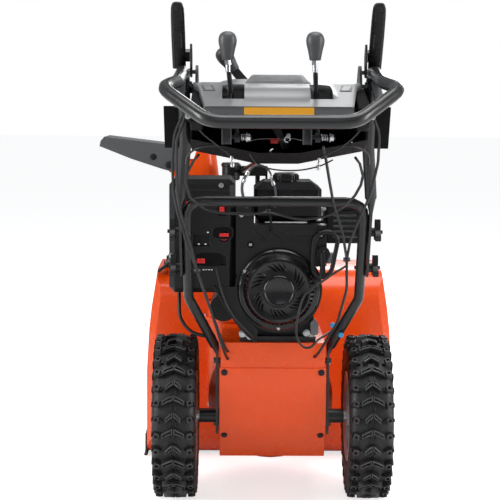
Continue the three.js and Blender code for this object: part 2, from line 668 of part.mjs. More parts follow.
function axleShaft() {
  return join(bar("x", AXLE_R, -HALF_AXLE, HALF_AXLE, [0, TYRE_R], 14),
    bar("x", GEAR_R, ...GEAR_X, [0, TYRE_R], 24));
}
piece("axle_shaft", axleShaft(), STEEL);

function hexShaft() {
  const end = HALF_BOX - GAP;
  return join(bar("x", HEX_R, -end, -HALF_BOX + 8, [HEX_Y, DISC_Z], 12),
    bar("x", HEX_R, HALF_BOX - 8, end, [HEX_Y, DISC_Z], 12),
    bar("x", HEX_R, -HALF_BOX + 6, HALF_BOX - 6, [HEX_Y, DISC_Z], 6),
    bar("x", PINION_SHAFT_R, ...GEAR_X, [HEX_Y, DISC_Z], 18));
}
piece("hex_shaft", hexShaft(), STEEL);

const FRICTION_X = 5;
function frictionWheel() {
  const disc = bar("x", FRICTION_R, FRICTION_X - 7, FRICTION_X + 7, [HEX_Y, DISC_Z], 24);
  const hub = bar("x", 17, FRICTION_X - 18, FRICTION_X + 18, [HEX_Y, DISC_Z], 16);
  return cut(join(disc, hub),
    bar("x", HEX_R + GAP, FRICTION_X - 30, FRICTION_X + 30, [HEX_Y, DISC_Z], 6));
}
piece("friction_wheel", frictionWheel(), RUBBER);

const DISC_PULLEY_R = 42;
const ENGINE_AUGER_R = 36;
const ENGINE_DRIVE_R = 28;
const AUGER_PULLEY_R = 76;
const GROOVE = 6; // depth of a belt groove

// A grooved pulley's outline between two flanges, as [radius, place on the axis] points.
const groove = (r, [a, b]) => [[r, a], [r - GROOVE, a + 4.6], [r - GROOVE, b - 4.6], [r, b]];

function frictionDisc() {
  const profile = [[0, DISC_REAR], [70, DISC_REAR], [70, DISC_REAR + 10], [20, DISC_REAR + 12],
    ...groove(DISC_PULLEY_R, DRIVE_BELT_Y), [DISC_SHAFT_R, DRIVE_BELT_Y[1]],
    [DISC_SHAFT_R, BOX_FRONT - GAP], [0, BOX_FRONT - GAP]];
  return turned("y", profile, [0, DISC_Z], 20);
}
piece("friction_disc", frictionDisc(), STEEL);

function augerPulley() {
  const bore = IMPELLER_SHAFT_R + GAP;
  const profile = [[bore, AUGER_BELT_Y[0]], ...groove(AUGER_PULLEY_R, AUGER_BELT_Y),
    [bore, AUGER_BELT_Y[1]], [bore, AUGER_BELT_Y[0]]];
  return turned("y", profile, [0, DRUM_Z], 24);
}
piece("auger_pulley", augerPulley(), STEEL);

const CRANK_R = 11;
function enginePulley() {
  const profile = [[0, 30], [CRANK_R, 30], [CRANK_R, DRIVE_BELT_Y[0] - 6],
    [ENGINE_DRIVE_R, DRIVE_BELT_Y[0] - 6], ...groove(ENGINE_DRIVE_R, DRIVE_BELT_Y),
    ...groove(ENGINE_AUGER_R, AUGER_BELT_Y), [CRANK_R, AUGER_BELT_Y[1]],
    [CRANK_R, AUGER_BELT_Y[1] + 4], [0, AUGER_BELT_Y[1] + 4]];
  return turned("y", profile, [CRANK_X, CRANK_Z], 16);
}
piece("engine_pulley", enginePulley(), STEEL);

// A flat belt round two pulleys: the hull of two discs less the hull of two smaller ones.
function belt(low, high, [from, to]) {
  const wrap = (extra) => {
    const rings = [low, high].flatMap(([x, z, r]) =>
      circle(x, z, (r - GROOVE + extra) / Math.cos(Math.PI / 16), 0, 2 * Math.PI, 16));
    return hull(rings.flatMap(([x, z]) => [[x, extra > 1 ? from : from - 5, z],
      [x, extra > 1 ? to : to + 5, z]]));
  };
  return cut(wrap(5 + GAP), wrap(GAP));
}
const inGroove = ([a, b]) => [a + 5.3, b - 5.3];
piece("auger_belt", belt([0, DRUM_Z, AUGER_PULLEY_R], [CRANK_X, CRANK_Z, ENGINE_AUGER_R],
  inGroove(AUGER_BELT_Y)), RUBBER);
piece("drive_belt", belt([0, DISC_Z, DISC_PULLEY_R], [CRANK_X, CRANK_Z, ENGINE_DRIVE_R],
  inGroove(DRIVE_BELT_Y)), RUBBER);

// ---------------------------------------------------------------- engine
const TANK_Z = [653, 742];
const BLOCK_FRONT = 84;
const SHROUD_FRONT = -96;

function engineBlock() {
  const floor = DECK_Z + GAP;
  const foot = box(-74, 96, -112, 80, floor, floor + 12);
  const crankcase = hull([-74, 96].flatMap((x) => [-92, BLOCK_FRONT].flatMap((y) =>
    [[x, y, floor + 10], [x * 0.8 + 2, y * 0.9, 578]])));
  const barrel = prism("y", [[-30, 560], [72, 560], [84, 640], [-30, 640]], -80, 66);
  const fins = [575, 590, 605, 620].map((z) => box(-40, 96, -86, 72, z, z + 4));
  const posts = [[-26, -70], [88, -70], [-26, 45], [88, 45]].map(([x, y]) =>
    box(x - 7, x + 7, y - 7, y + 7, 600, TANK_Z[0] - GAP));
  const port = box(80, MUFFLER_X - GAP, -12, 26, 622, 648);
  const intake = box(HEATER_X[1] + GAP, -20, -20, 20, 600, 630);
  const starterPad = box(-74, -40, -24, 34, 426, 474);
  const backPlate = bar("y", 97, SHROUD_FRONT + GAP, -88, [CRANK_X, CRANK_Z], 24);
  return cut(join(foot, crankcase, barrel, ...fins, ...posts, port, intake, starterPad, backPlate),
    bar("y", CRANK_R + RUN, 25, 120, [CRANK_X, CRANK_Z], 20));
}
const MUFFLER_X = 114;
piece("engine_block", engineBlock(), CAST);

function fanShroud() {
  const rim = (inset) => join(
    bar("y", 97 - inset, inset ? SHROUD_REAR + 3 : SHROUD_REAR, inset ? 0 : SHROUD_FRONT,
      [CRANK_X, CRANK_Z], 32),
    prism("y", [[-84 + inset, 540], [-84 + inset, 690 - inset], [-50 - inset, 690 - inset],
      [-46 - inset, TANK_Z[0] - 3 - inset], [117 - inset, TANK_Z[0] - 3 - inset],
      [117 - inset, 560]],
    inset ? SHROUD_REAR + 3 : SHROUD_REAR, inset ? 0 : SHROUD_FRONT),
  );
  const above = box(-200, 200, -200, 20, DECK_Z + 14, 800);
  const guide = bar("y", 15, SHROUD_REAR - 16, SHROUD_REAR + 2, PULL, 14);
  return cut(join(cut(common(rim(0), above), rim(3)), guide),
    bar("y", 74, SHROUD_REAR - 9, SHROUD_REAR + 9, [CRANK_X, CRANK_Z], 32),
    bar("y", 6, SHROUD_REAR - 20, SHROUD_REAR + 9, PULL, 10));
}
const PULL = [109, 588]; // where the starting rope comes out
piece("fan_shroud", fanShroud(), BLACK_PLASTIC);

function recoilCover() {
  const y = SHROUD_REAR - GAP;
  const profile = [[0, y - 40], [33, y - 40], [35, y - 36], [60, y - 34], [72, y - 26],
    [78, y - 12], [90, y - 8], [92, y - 4], [92, y], [84, y], [66, y - 22], [0, y - 31]];
  return turned("y", profile, [CRANK_X, CRANK_Z], 24);
}
piece("recoil_cover", recoilCover(), GLOSS_BLACK);

function recoilHandle() {
  const y = SHROUD_REAR - 16 - GAP;
  const lean = THREE.MathUtils.degToRad(-32);
  const loop = (length, r) => [...circle(0, length, r, 0, Math.PI, 8),
    ...circle(0, -length, r, Math.PI, 2 * Math.PI, 8)].map(([u, v]) => [
    PULL[0] + u * Math.cos(lean) - v * Math.sin(lean),
    PULL[1] + u * Math.sin(lean) + v * Math.cos(lean)]);
  const grip = cut(prism("y", loop(28, 24), y - 14, y), prism("y", loop(26, 11), y - 20, y + 9));
  const hub = bar("y", 12, y - 12, y, PULL, 12);
  return join(grip, hub, bar("y", 5, y - 2, y + 22, PULL, 10));
}
piece("recoil_handle", recoilHandle(), BLACK_PLASTIC);

const TANK_X = [-44, 107];
const TANK_Y = [-106, 62];
const CAP = [28, -58];
const CAP_R = 28;
function fuelTank() {
  const block = (inset) => hull([0, 1].flatMap((i) => [0, 1].flatMap((j) => {
    const [sx, sy] = [i ? 1 : -1, j ? 1 : -1];
    const [x, y] = [TANK_X[i] - sx * inset, TANK_Y[j] - sy * inset];
    const [lo, hi] = [TANK_Z[0] + inset, TANK_Z[1] - inset];
    return [[x - sx * 12, y - sy * 12, lo], [x, y - sy * 8, lo + 14], [x - sx * 8, y, lo + 14],
      [x, y - sy * 8, hi - 16], [x - sx * 8, y, hi - 16], [x - sx * 22, y - sy * 22, hi]];
  })));
  const neck = bar("z", 24, TANK_Z[1] - 12, TANK_Z[1] + 3, CAP, 20);
  const mouth = bar("z", 20, TANK_Z[1] - 20, TANK_Z[1] + 9, CAP, 20);
  return cut(join(block(0), neck), block(3), mouth);
}
piece("fuel_tank", fuelTank(), GLOSS_BLACK);

function fuelCap() {
  const floor = TANK_Z[1] + 3 + GAP;
  return turned("z", [[0, -8], [18.5, -8], [18.5, 0], [CAP_R, 0], [CAP_R, 11], [24, 16],
    [0, 17]].map(([r, a]) => [r, floor + a]), CAP, 24);
}
piece("fuel_cap", fuelCap(), BLACK_PLASTIC);

const block8 = ([x0, x1], [y0, y1], [z0, z1], edge) => hull([
  [0, 0, 0], [0, 0, 1], [0, 1, 0], [0, 1, 1], [1, 0, 0], [1, 0, 1], [1, 1, 0], [1, 1, 1],
].flatMap(([i, j, k]) => {
  const [x, y, z] = [i ? x1 : x0, j ? y1 : y0, k ? z1 : z0];
  const [sx, sy, sz] = [i ? -edge : edge, j ? -edge : edge, k ? -edge : edge];
  return [[x + sx, y + sy, z], [x + sx, y, z + sz], [x, y + sy, z + sz]];
}));

const muffler = () => block8([MUFFLER_X, 198], [-48, 66], [604, 680], 8);
piece("muffler", muffler(), STEEL);

function mufflerGuard() {
  const shell = cut(block8([118, 210], [-64, 82], [600, 692], 5),
    box(100, 206, -60, 78, 590, 686));
  const louvres = Array.from({ length: 6 }, (_, i) =>
    box(136, 202, -70, -40, 614 + i * 12, 619 + i * 12));
  const tops = Array.from({ length: 5 }, (_, i) =>
    box(130, 196, -40 + i * 24, -28 + i * 24, 680, 700));
  return join(cut(shell, ...louvres, ...tops, muffler()), box(198.3, 208, -4, 20, 640, 650));
}
piece("muffler_guard", mufflerGuard(), BLACK_PLASTIC);

const KEY = [-115, 683];
const CHOKE = [-110, 628];
const THROTTLE_SLOT = [[-172, -106], [560, 580]];
function heaterBox() {
  const body = block8(HEATER_X, [HEATER_REAR, 44], HEATER_Z, 12);
  const inside = block8([HEATER_X[0] + 4, HEATER_X[1] - 4], [HEATER_REAR + 14, 80],
    [HEATER_Z[0] + 4, HEATER_Z[1] - 4], 10);
  const well = ([x0, x1], [z0, z1], deep) =>
    box(x0, x1, HEATER_REAR - 1, HEATER_REAR + deep, z0, z1);
  return cut(body, inside, well(THROTTLE_SLOT[0], THROTTLE_SLOT[1], 8),
    bar("y", 15, HEATER_REAR - 1, HEATER_REAR + 7, CHOKE, 16),
    bar("y", 4.5, HEATER_REAR - 1, HEATER_REAR + 20, CHOKE, 12),
    well([KEY[0] - 9, KEY[0] + 9], [KEY[1] - 12, KEY[1] + 12], 7),
    well([-180, -142], [602, 628], 8),
    box(KEY[0] - 3, KEY[0] + 3, HEATER_REAR, HEATER_REAR + 20, KEY[1] - 5, KEY[1] + 5));
}
piece("heater_box", heaterBox(), BLACK_PLASTIC);

const ignitionKey = () => join(
  box(KEY[0] - 5.5, KEY[0] + 5.5, HEATER_REAR - 14, HEATER_REAR + 7 - GAP, KEY[1] - 7, KEY[1] + 7),
  box(KEY[0] - 2, KEY[0] + 2, HEATER_REAR + 5, HEATER_REAR + 13, KEY[1] - 4, KEY[1] + 4));
piece("ignition_key", ignitionKey(), RED);

const chokeKnob = () => join(
  bar("y", 13, HEATER_REAR - 2, HEATER_REAR + 7 - GAP, CHOKE, 16),
  bar("y", 4, HEATER_REAR + 5, HEATER_REAR + 15, CHOKE, 12),
  box(CHOKE[0] - 10.5, CHOKE[0] + 10.5, HEATER_REAR - 12, HEATER_REAR, CHOKE[1] - 3.5,
    CHOKE[1] + 3.5));
piece("choke_knob", chokeKnob(), RED);

const throttleLever = () => join(
  box(-170, -152, HEATER_REAR - 8, HEATER_REAR + 7, 565, 575),
  box(-164, -158, HEATER_REAR + 5, HEATER_REAR + 8 - GAP, 560 + GAP, 580 - GAP));
piece("throttle_lever", throttleLever(), RED);

function electricStarter() {
  const at = [-112, 452];
  return join(bar("y", 31, -62, 70, at, 22), bar("y", 16, 68, 82, at, 14),
    box(at[0] - 12, at[0] + 12, -50, 40, at[1] + 20, at[1] + 42),
    box(-90, -74 + GAP * -1, -20, 30, 430, 470));
}
piece("electric_starter", electricStarter(), BLACK_PLASTIC);

// ---------------------------------------------------------------- handles
const legY = (z) => LEG_BEND_Y - (z - LEG_BEND_Z) * LEAN;
const STRAP_X = [123, 128.5];
const STRAP_Y = [-92, -68];

function lowerFrame() {
  const right = [[131.5, -84, 371], [FRAME_X, LEG_BEND_Y, LEG_BEND_Z],
    [FRAME_X, legY(FRAME_BAR_Z), FRAME_BAR_Z]];
  const body = tube([...mirrored(right), ...right.reverse()], FRAME_TUBE_R, 42, 14, 4);
  const parts = [body];
  for (const side of [-1, 1]) {
    const at = (x) => side * x;
    const ends = (a, b) => [Math.min(at(a), at(b)), Math.max(at(a), at(b))];
    parts.push(box(...ends(...STRAP_X), ...STRAP_Y, 168, 352));
    const top = STRAP_X.flatMap((x) => STRAP_Y.map((y) => [at(x), y, 350]));
    const ring = circle(131.5, -84, FRAME_TUBE_R - 1, 0, 2 * Math.PI, 10)
      .map(([x, y]) => [at(x), y, 373]);
    parts.push(hull([...top, ...ring]));
    for (const z of [190, 335]) {
      parts.push(bar("x", 6, ...ends(HALF_BOX + GAP, STRAP_X[1] + 5), [-80, z], 6));
    }
  }
  return cut(join(...parts), ...[-1, 1].flatMap((side) => KNOB_Z.map((z) =>
    bar("x", 4.5, side < 0 ? -FRAME_X - 20 : FRAME_X - 20, side < 0 ? -FRAME_X + 20
      : FRAME_X + 20, [legY(z), z], 8))));
}
piece("lower_frame", lowerFrame(), DARK_TUBE);

const FLAT_X = FRAME_X + FRAME_TUBE_R + GAP; // inner face of the flattened ends
const FLAT_Z = [543, 690];
const STUD_R = 4; // hand knob studs
const UPRIGHT = [[200, legY(722), 722], [188, legY(830), 830], [GRIP_X, -447, GRIP_Z + 19]];
const LEVER = { y: -470, z: 980 }; // clutch lever pivots
const TRIGGER = { y: -490, z: 953 };

function upperHandle() {
  const right = [...UPRIGHT, [GRIP_X + 3, -640, GRIP_Z - 6], [CORNER_X + 5, -712, CORNER_Z - 2],
    [130, BAR_Y, BAR_Z]];
  const body = tube([...mirrored(right), ...right.reverse()], HANDLE_TUBE_R, 55, 14, 4);
  const parts = [body];
  for (const side of [-1, 1]) {
    const ends = (a, b) => [Math.min(side * a, side * b), Math.max(side * a, side * b)];
    const flat = FLAT_Z.flatMap((z) => [[legY(z) - 17, z], [legY(z) + 17, z]]);
    parts.push(prism("x", [flat[0], flat[1], flat[3], flat[2]], ...ends(FLAT_X, FLAT_X + FLAT_T)));
    const top = [FLAT_X, FLAT_X + FLAT_T].flatMap((x) => [-17, 17].map((dy) =>
      [side * x, legY(688) + dy, 688]));
    const ring = circle(200, legY(724), HANDLE_TUBE_R - 0.5, 0, 2 * Math.PI, 12)
      .map(([x, y]) => [side * x, y, 726]);
    parts.push(hull([...top, ...ring]));
    parts.push(prism("x", [[-505, 925], [-450, DECK_TOP], [-425, DECK_TOP], [-425, 965],
      [-455, 993], [-485, 993], [-505, 965]], ...ends(158, 163)));
    parts.push(box(...ends(162, 180), -446, -430, 938, 954));
    parts.push(bar("x", 4, ...ends(160, 174.6), [LEVER.y, LEVER.z], 8));
    parts.push(bar("x", 4, ...ends(160, 199), [TRIGGER.y, TRIGGER.z], 8));
  }
  return cut(join(...parts), ...[-1, 1].flatMap((side) => KNOB_Z.map((z) =>
    bar("x", STUD_R + RUN, side < 0 ? -FLAT_X - 20 : FLAT_X - 9, side < 0 ? 9 - FLAT_X
      : FLAT_X + 20, [legY(z), z], 8))));
}
piece("upper_handle", upperHandle(), DARK_TUBE);

// Three-lobed hand knob on its stud. The lower pair's studs are the fold's pivot.
function handKnob(side, z, through) {
  const x = FLAT_X + FLAT_T + GAP;
  const lobes = Array.from({ length: 18 }, (_, i) => {
    const a = (i * 2 * Math.PI) / 18;
    const r = 17 + 7 * Math.cos(3 * (a - Math.PI / 2));
    return [legY(z) + r * Math.cos(a), z + r * Math.sin(a)];
  });
  const ends = (a, b) => [Math.min(side * a, side * b), Math.max(side * a, side * b)];
  const inner = through ? FRAME_X - FRAME_TUBE_R - 3 : FLAT_X + GAP;
  return join(prism("x", lobes, ...ends(x + 8, x + 20)),
    bar("x", 10, ...ends(x, x + 9), [legY(z), z], 10),
    bar("x", 4, ...ends(inner, x + 25), [legY(z), z], 8));
}
pair("lower_knob", (side) => handKnob(side, KNOB_Z[0], true), BLACK_PLASTIC);
pair("upper_knob", (side) => handKnob(side, KNOB_Z[1], false), BLACK_PLASTIC);

// ---------------------------------------------------------------- console
const SLOT_Y = [-642, -558];
const SLOTS = [[-105, -62], [60, 103]];
const PIVOT = { y: -600, z: 856 }; // both small levers
const panelZ = (y) => PANEL_REAR_Z + ((y - PANEL_REAR) / (PANEL_FRONT - PANEL_REAR)) * PANEL_RISE;

function consolePanel() {
  const side = [[PANEL_REAR, DECK_TOP], [PANEL_REAR, PANEL_REAR_Z - 2],
    [PANEL_REAR + 6, panelZ(PANEL_REAR + 6)], [PANEL_FRONT, panelZ(PANEL_FRONT)],
    [PANEL_FRONT + 14, panelZ(PANEL_FRONT) - 8], [PANEL_FRONT + 14, DECK_TOP]];
  const plan = [[-135, PANEL_REAR], [135, PANEL_REAR], [150, PANEL_FRONT + 14],
    [-150, PANEL_FRONT + 14]];
  const outer = common(prism("x", side, -PANEL_W, PANEL_W), prism("z", plan, 800, 1100));
  const hollow = common(prism("x", side.map(([y, z]) => [y, z - 5]), -PANEL_W, PANEL_W),
    prism("z", [[-131, PANEL_REAR + 4], [131, PANEL_REAR + 4], [146, PANEL_FRONT + 10],
      [-146, PANEL_FRONT + 10]], 800, 1100));
  const hood = hull([-62, 58].flatMap((x) => [[x, PANEL_FRONT - 60, panelZ(PANEL_FRONT - 60) - 3],
    [x * 0.9, PANEL_FRONT - 20, panelZ(PANEL_FRONT) + 5],
    [x * 0.9, PANEL_FRONT + 8, panelZ(PANEL_FRONT) + 4], [x, PANEL_FRONT + 14, 955],
    [x, PANEL_FRONT - 60, 940]]));
  const brackets = [[-110, -90], [44, 62]].map(([x0, x1]) =>
    box(x0, x1, PIVOT.y - 16, PIVOT.y + 16, PIVOT.z - 14, panelZ(PIVOT.y) - 3));
  const pins = [[-92, -46], [60, 102]].map(([x0, x1]) =>
    bar("x", 4, x0, x1, [PIVOT.y, PIVOT.z], 10));
  const nuts = [[-56, -46], [92, 102]].map(([x0, x1]) =>
    bar("x", 8, x0, x1, [PIVOT.y, PIVOT.z], 6));
  const slots = SLOTS.map(([x0, x1]) => box(x0, x1, ...SLOT_Y, 900, 1000));
  return join(cut(join(outer, hood), hollow, ...slots), cut(join(...brackets),
    box(-103, -62, ...SLOT_Y, 885, 1000), box(60, 101, ...SLOT_Y, 885, 1000)), ...pins, ...nuts);
}
piece("console_panel", consolePanel(), GREY_PLASTIC);

// The turning rod's axis, from the lever inside the console to the head by the chute.
const ROD_A = new THREE.Vector3(15, -437, 836);
const ROD_B = new THREE.Vector3(-70, 144.4, 754);
const rodBar = (radius, before, after, sides) => {
  const d = ROD_B.clone().sub(ROD_A).normalize();
  const from = ROD_A.clone().addScaledVector(d, -before);
  const to = ROD_B.clone().addScaledVector(d, after);
  return tube([from.toArray(), to.toArray()], radius, 0, sides);
};

function consoleShell() {
  const tub = (inset) => {
    const rear = inset ? -560 : -540;
    const [w, f, t] = [172 - inset, -292 - inset, DECK_TOP - GAP - inset];
    const low = [[-w, 824], [-110, 812], [-42, 798], [42, 798], [110, 812], [w, 824]]
      .map(([x, z]) => [x, z + inset]);
    return hull([...low.flatMap(([x, z]) => [[x, rear, z + 26], [x, -430, z],
      [x * 0.96, f, z + 16]]), ...[-w, w].flatMap((x) => [[x, rear, t], [x * 0.96, f, t - 24],
      [x, f - 40, t]])]);
  };
  const wing = (side, inset) => prism("x", [[legY(826) + 18 + inset, 826 + inset],
    [legY(912) + 18 + inset, 912 - inset], [-312, 912 - inset], [-292 - inset, 896],
    [-292 - inset, 838], [-304, 826 + inset]],
  side < 0 ? -SHELL_W / 2 + inset : 160 - inset, side < 0 ? -160 + inset : SHELL_W / 2 - inset);
  const outer = join(tub(0), wing(-1, 0), wing(1, 0));
  const inner = join(tub(4), wing(-1, 4), wing(1, 4));
  return cut(outer, inner, box(-46, 76, -452, -408, 880, 920), rodBar(8, 0, 0, 12));
}
piece("console_shell", consoleShell(), BLACK_PLASTIC);

// Clutch lever: a ribbed paddle on a steel arm, standing well above its grip.
const PADDLE_UP = THREE.MathUtils.degToRad(50);
const ARM_X = [169.5, 174.2];
function clutchLever(side) {
  const ends = (a, b) => [Math.min(side * a, side * b), Math.max(side * a, side * b)];
  const at = (s, h) => [LEVER.y - s * Math.cos(PADDLE_UP) + h * Math.sin(PADDLE_UP),
    LEVER.z + s * Math.sin(PADDLE_UP) + h * Math.cos(PADDLE_UP)];
  const paddle = prism("x", [at(14, 20), at(14, 32), at(60, 33), at(148, 30), at(152, 24),
    at(148, 19), at(60, 19)], ...ends(182, 207));
  const root = prism("x", [at(14, 20), at(14, 32), at(46, 32), at(46, 20)],
    ...ends(ARM_X[0], 207));
  const arm = prism("x", [at(0, -12), at(-10, 0), at(-4, 12), at(14, 32), at(46, 32),
    at(50, 26), at(40, 14), at(12, -4)], ...ends(...ARM_X));
  return cut(join(paddle, root, arm), bar("x", 4.6, ...ends(150, 176), [LEVER.y, LEVER.z], 8));
}
pair("clutch_lever", clutchLever, BLACK_PLASTIC);

function steeringTrigger(side) {
  const ends = (a, b) => [Math.min(side * a, side * b), Math.max(side * a, side * b)];
  const droop = THREE.MathUtils.degToRad(16);
  const at = (s, h) => [TRIGGER.y - s * Math.cos(droop) - h * Math.sin(droop),
    TRIGGER.z - s * Math.sin(droop) + h * Math.cos(droop)];
  const blade = prism("x", [at(0, 6), at(0, -7), at(90, -6), at(140, -3), at(140, 4)],
    ...ends(182, 199));
  const hub = bar("x", 9, ...ends(182, 199), [TRIGGER.y, TRIGGER.z], 12);
  return cut(join(blade, hub), bar("x", 4.6, ...ends(170, 210), [TRIGGER.y, TRIGGER.z], 8));
}
pair("steering_trigger", steeringTrigger, DARK_PLASTIC);

// A small lever: eye on the pin, stem, pear-shaped knob.
function handLever(x, lean) {
  const eye = bar("x", 10, x - 5, x + 5, [PIVOT.y, PIVOT.z], 12);
  const stem = tube([[x, PIVOT.y, PIVOT.z + 7], [x + lean * 0.4, PIVOT.y, 940],
    [x + lean, PIVOT.y - 2, 1008]], 5, 20, 8, 1);
  const knob = turned("z", [[0, 1001], [9, 1001], [16.5, 1024], [17, 1036], [12, 1050],
    [0, 1055]], [x + lean, PIVOT.y - 2], 14);
  return cut(join(eye, stem, knob), bar("x", 4.5, x - 9, x + 9, [PIVOT.y, PIVOT.z], 10));
}
piece("deflector_lever", handLever(-80, -14), DARK_PLASTIC);
piece("speed_lever", handLever(72, -6), DARK_PLASTIC);

function chuteLever() {
  const at = (u, v) => [ROD_A.x + u, ROD_A.z + v];
  const arm = prism("y", [at(-6, -9), at(8, -6), at(-20, 60), at(-74, 128), at(-118, 182),
    at(-134, 172), at(-92, 120), at(-36, 52)], ROD_A.y - 4, ROD_A.y + 4);
  const knob = hull([[-122, 168, 11], [-134, 184, 15], [-138, 196, 9]].flatMap(([u, v, r]) =>
    circle(0, 0, r, 0, 2 * Math.PI, 10).map(([c, s]) =>
      [ROD_A.x + u + c * 0.8, ROD_A.y + s, ROD_A.z + v + c * 0.6])));
  return join(rodBar(6, 14, 0, 10), arm, knob);
}
piece("chute_lever", chuteLever(), DARK_PLASTIC);

// ---------------------------------------------------------------- cables
const cable = (points) => tube(points, CABLE_R, 60, 6, 1);
const tie = (x, y, z, w) => box(x - w, x + w, y - w, y + w, z - 4, z + 4);

const LEFT_OUTER = [[-172, -484, 961], [-184, -468, 905], [-206, -436, 860], [-213, -392, 800],
  [-213, -352, 740], [-205, -322, 690], [-186, -292, 620], [-166, -262, 562], [-148, -232, 500],
  [-120, -168, 410], [-102, -146, 364], [-102, -110, 364]];
const LEFT_INNER = [[-176, -502, 935], [-184, -486, 888], [-202, -452, 846], [-204, -404, 795],
  [-204, -366, 740], [-198, -334, 690], [-178, -302, 620], [-166, -266, 562],
  [-144, -240, 495], [-118, -180, 400], [-102, -152, 347], [-102, -110, 347]];
piece("left_cables", join(cable(LEFT_OUTER), cable(LEFT_INNER), tie(-166, -264, 562, 7)), RUBBER);

const SPEED_CABLE = [[84, -578, 838], [92, -520, 815], [104, -430, 770], [118, -350, 715],
  [140, -322, 650], [152, -282, 590], [156, -240, 520], [140, -190, 440], [94, -146, 352],
  [94, -110, 352]];
const CLUTCH_CABLE = [[172, -484, 961], [184, -468, 905], [204, -436, 860], [206, -392, 800],
  [196, -352, 735], [176, -318, 680], [158, -296, 630], [152, -284, 588]];
piece("right_cables", join(cable(SPEED_CABLE), cable(CLUTCH_CABLE), tie(152, -283, 589, 7)),
  RUBBER);

// The wiring: one branch from each side of the console to a clip below the frame's top bar,
// then forward to the engine.
const CLIP = [-16, -306, 692];
const WIRE_LEFT = [[-158, -404, 815], [-180, -392, 790], [-190, -352, 740], [-166, -330, 706],
  [-126, -316, 690], [-54, -312, 686], CLIP];
const WIRE_RIGHT = [[158, -404, 811], [178, -392, 785], [172, -356, 740], [133, -326, 694],
  [92, -318, 680], [50, -314, 675], CLIP];
const WIRE_ENGINE = [CLIP, [-12, -250, 690], [-8, -190, 664], [-8, -172, 641],
  [-8, SHROUD_REAR - 0.5, 640]];
piece("wiring", join(cable(WIRE_LEFT), cable(WIRE_RIGHT), cable(WIRE_ENGINE), tie(...CLIP, 5)),
  RUBBER);

machine.name = "machine";
export default new THREE.Group().add(machine);
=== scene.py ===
import json
from math import copysign, cos, hypot, pi, radians, sin

import bmesh
import bpy
from mathutils import Matrix, Vector
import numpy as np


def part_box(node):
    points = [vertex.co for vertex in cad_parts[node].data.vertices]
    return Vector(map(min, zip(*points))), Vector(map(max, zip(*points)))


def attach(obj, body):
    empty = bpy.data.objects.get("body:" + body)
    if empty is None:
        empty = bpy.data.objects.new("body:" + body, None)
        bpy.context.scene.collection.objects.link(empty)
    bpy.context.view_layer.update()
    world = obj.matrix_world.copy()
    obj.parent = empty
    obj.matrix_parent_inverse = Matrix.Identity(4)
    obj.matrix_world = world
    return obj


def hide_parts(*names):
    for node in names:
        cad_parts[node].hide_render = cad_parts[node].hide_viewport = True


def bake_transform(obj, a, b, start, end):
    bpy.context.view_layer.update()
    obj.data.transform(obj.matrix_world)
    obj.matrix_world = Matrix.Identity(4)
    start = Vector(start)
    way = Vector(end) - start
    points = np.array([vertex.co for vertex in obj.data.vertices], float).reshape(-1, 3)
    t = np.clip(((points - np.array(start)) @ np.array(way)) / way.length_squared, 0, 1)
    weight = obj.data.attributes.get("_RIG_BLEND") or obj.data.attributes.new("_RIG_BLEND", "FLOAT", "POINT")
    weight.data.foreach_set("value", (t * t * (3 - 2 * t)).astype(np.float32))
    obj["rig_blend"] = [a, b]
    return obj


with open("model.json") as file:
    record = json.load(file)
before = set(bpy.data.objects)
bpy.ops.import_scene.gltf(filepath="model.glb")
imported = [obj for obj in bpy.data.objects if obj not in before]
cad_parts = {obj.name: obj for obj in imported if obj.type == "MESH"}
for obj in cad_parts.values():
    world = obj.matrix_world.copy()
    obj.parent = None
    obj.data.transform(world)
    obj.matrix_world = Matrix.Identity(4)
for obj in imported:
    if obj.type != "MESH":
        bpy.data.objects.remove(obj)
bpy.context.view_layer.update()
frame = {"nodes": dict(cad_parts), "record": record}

# -------------------- floor, camera and lamps
# A plain white studio: one pale floor, a white surround, five soft lamps and a low camera
# behind the machine. None of it belongs to the object.
scene = bpy.context.scene
scene.view_settings.view_transform = "Standard"


def in_scene(name, data):
    """A new object that stands in the scene."""
    thing = bpy.data.objects.new(name, data)
    scene.collection.objects.link(thing)
    return thing


lens = bpy.data.cameras.new("camera")
lens.sensor_width = 36.0
lens.lens = 108.0
lens.clip_end = 60.0
camera = in_scene("camera", lens)
CAMERA_AT, PAN, TILT, ROLL = (-0.0683, -3.9173, 0.936), -0.0047, -0.1032, 0.0051
camera.matrix_world = (Matrix.Translation(CAMERA_AT) @ Matrix.Rotation(PAN, 4, "Z")
                       @ Matrix.Rotation(pi / 2 + TILT, 4, "X") @ Matrix.Rotation(ROLL, 4, "Z"))
scene.camera = camera


def studio_lamp(name, spot, aim, size, watts):
    """A soft square lamp that looks at its aim, in metres."""
    lamp = bpy.data.lights.new(name, "AREA")
    lamp.shape = "RECTANGLE"
    lamp.size, lamp.size_y = size
    lamp.energy = watts
    turn = (Vector(aim) - Vector(spot)).to_track_quat("-Z", "Y").to_matrix().to_4x4()
    in_scene(name, lamp).matrix_world = Matrix.Translation(spot) @ turn


studio_lamp("lamp_above", (0.2, -0.9, 3.6), (0, -0.5, 0.4), (2.6, 2.2), 80)
studio_lamp("lamp_left", (-3.3, -1.9, 1.7), (0, -0.5, 0.5), (0.9, 2.4), 84)
studio_lamp("lamp_right", (3.3, -1.7, 1.5), (0, -0.5, 0.5), (0.8, 2.4), 70)
studio_lamp("lamp_back", (-0.5, -4.8, 2.9), (0, -0.5, 0.5), (2.4, 1.2), 10)
studio_lamp("lamp_front", (1.2, 3.4, 2.2), (0, 0, 0.4), (2.4, 1.6), 60)


def wire(tree, node, values):
    """Gives a node its inputs: a socket is joined to it, anything else is its value."""
    for label, value in values.items():
        if isinstance(value, bpy.types.NodeSocket):
            tree.links.new(value, node.inputs[label])
        else:
            node.inputs[label].default_value = value
    return node


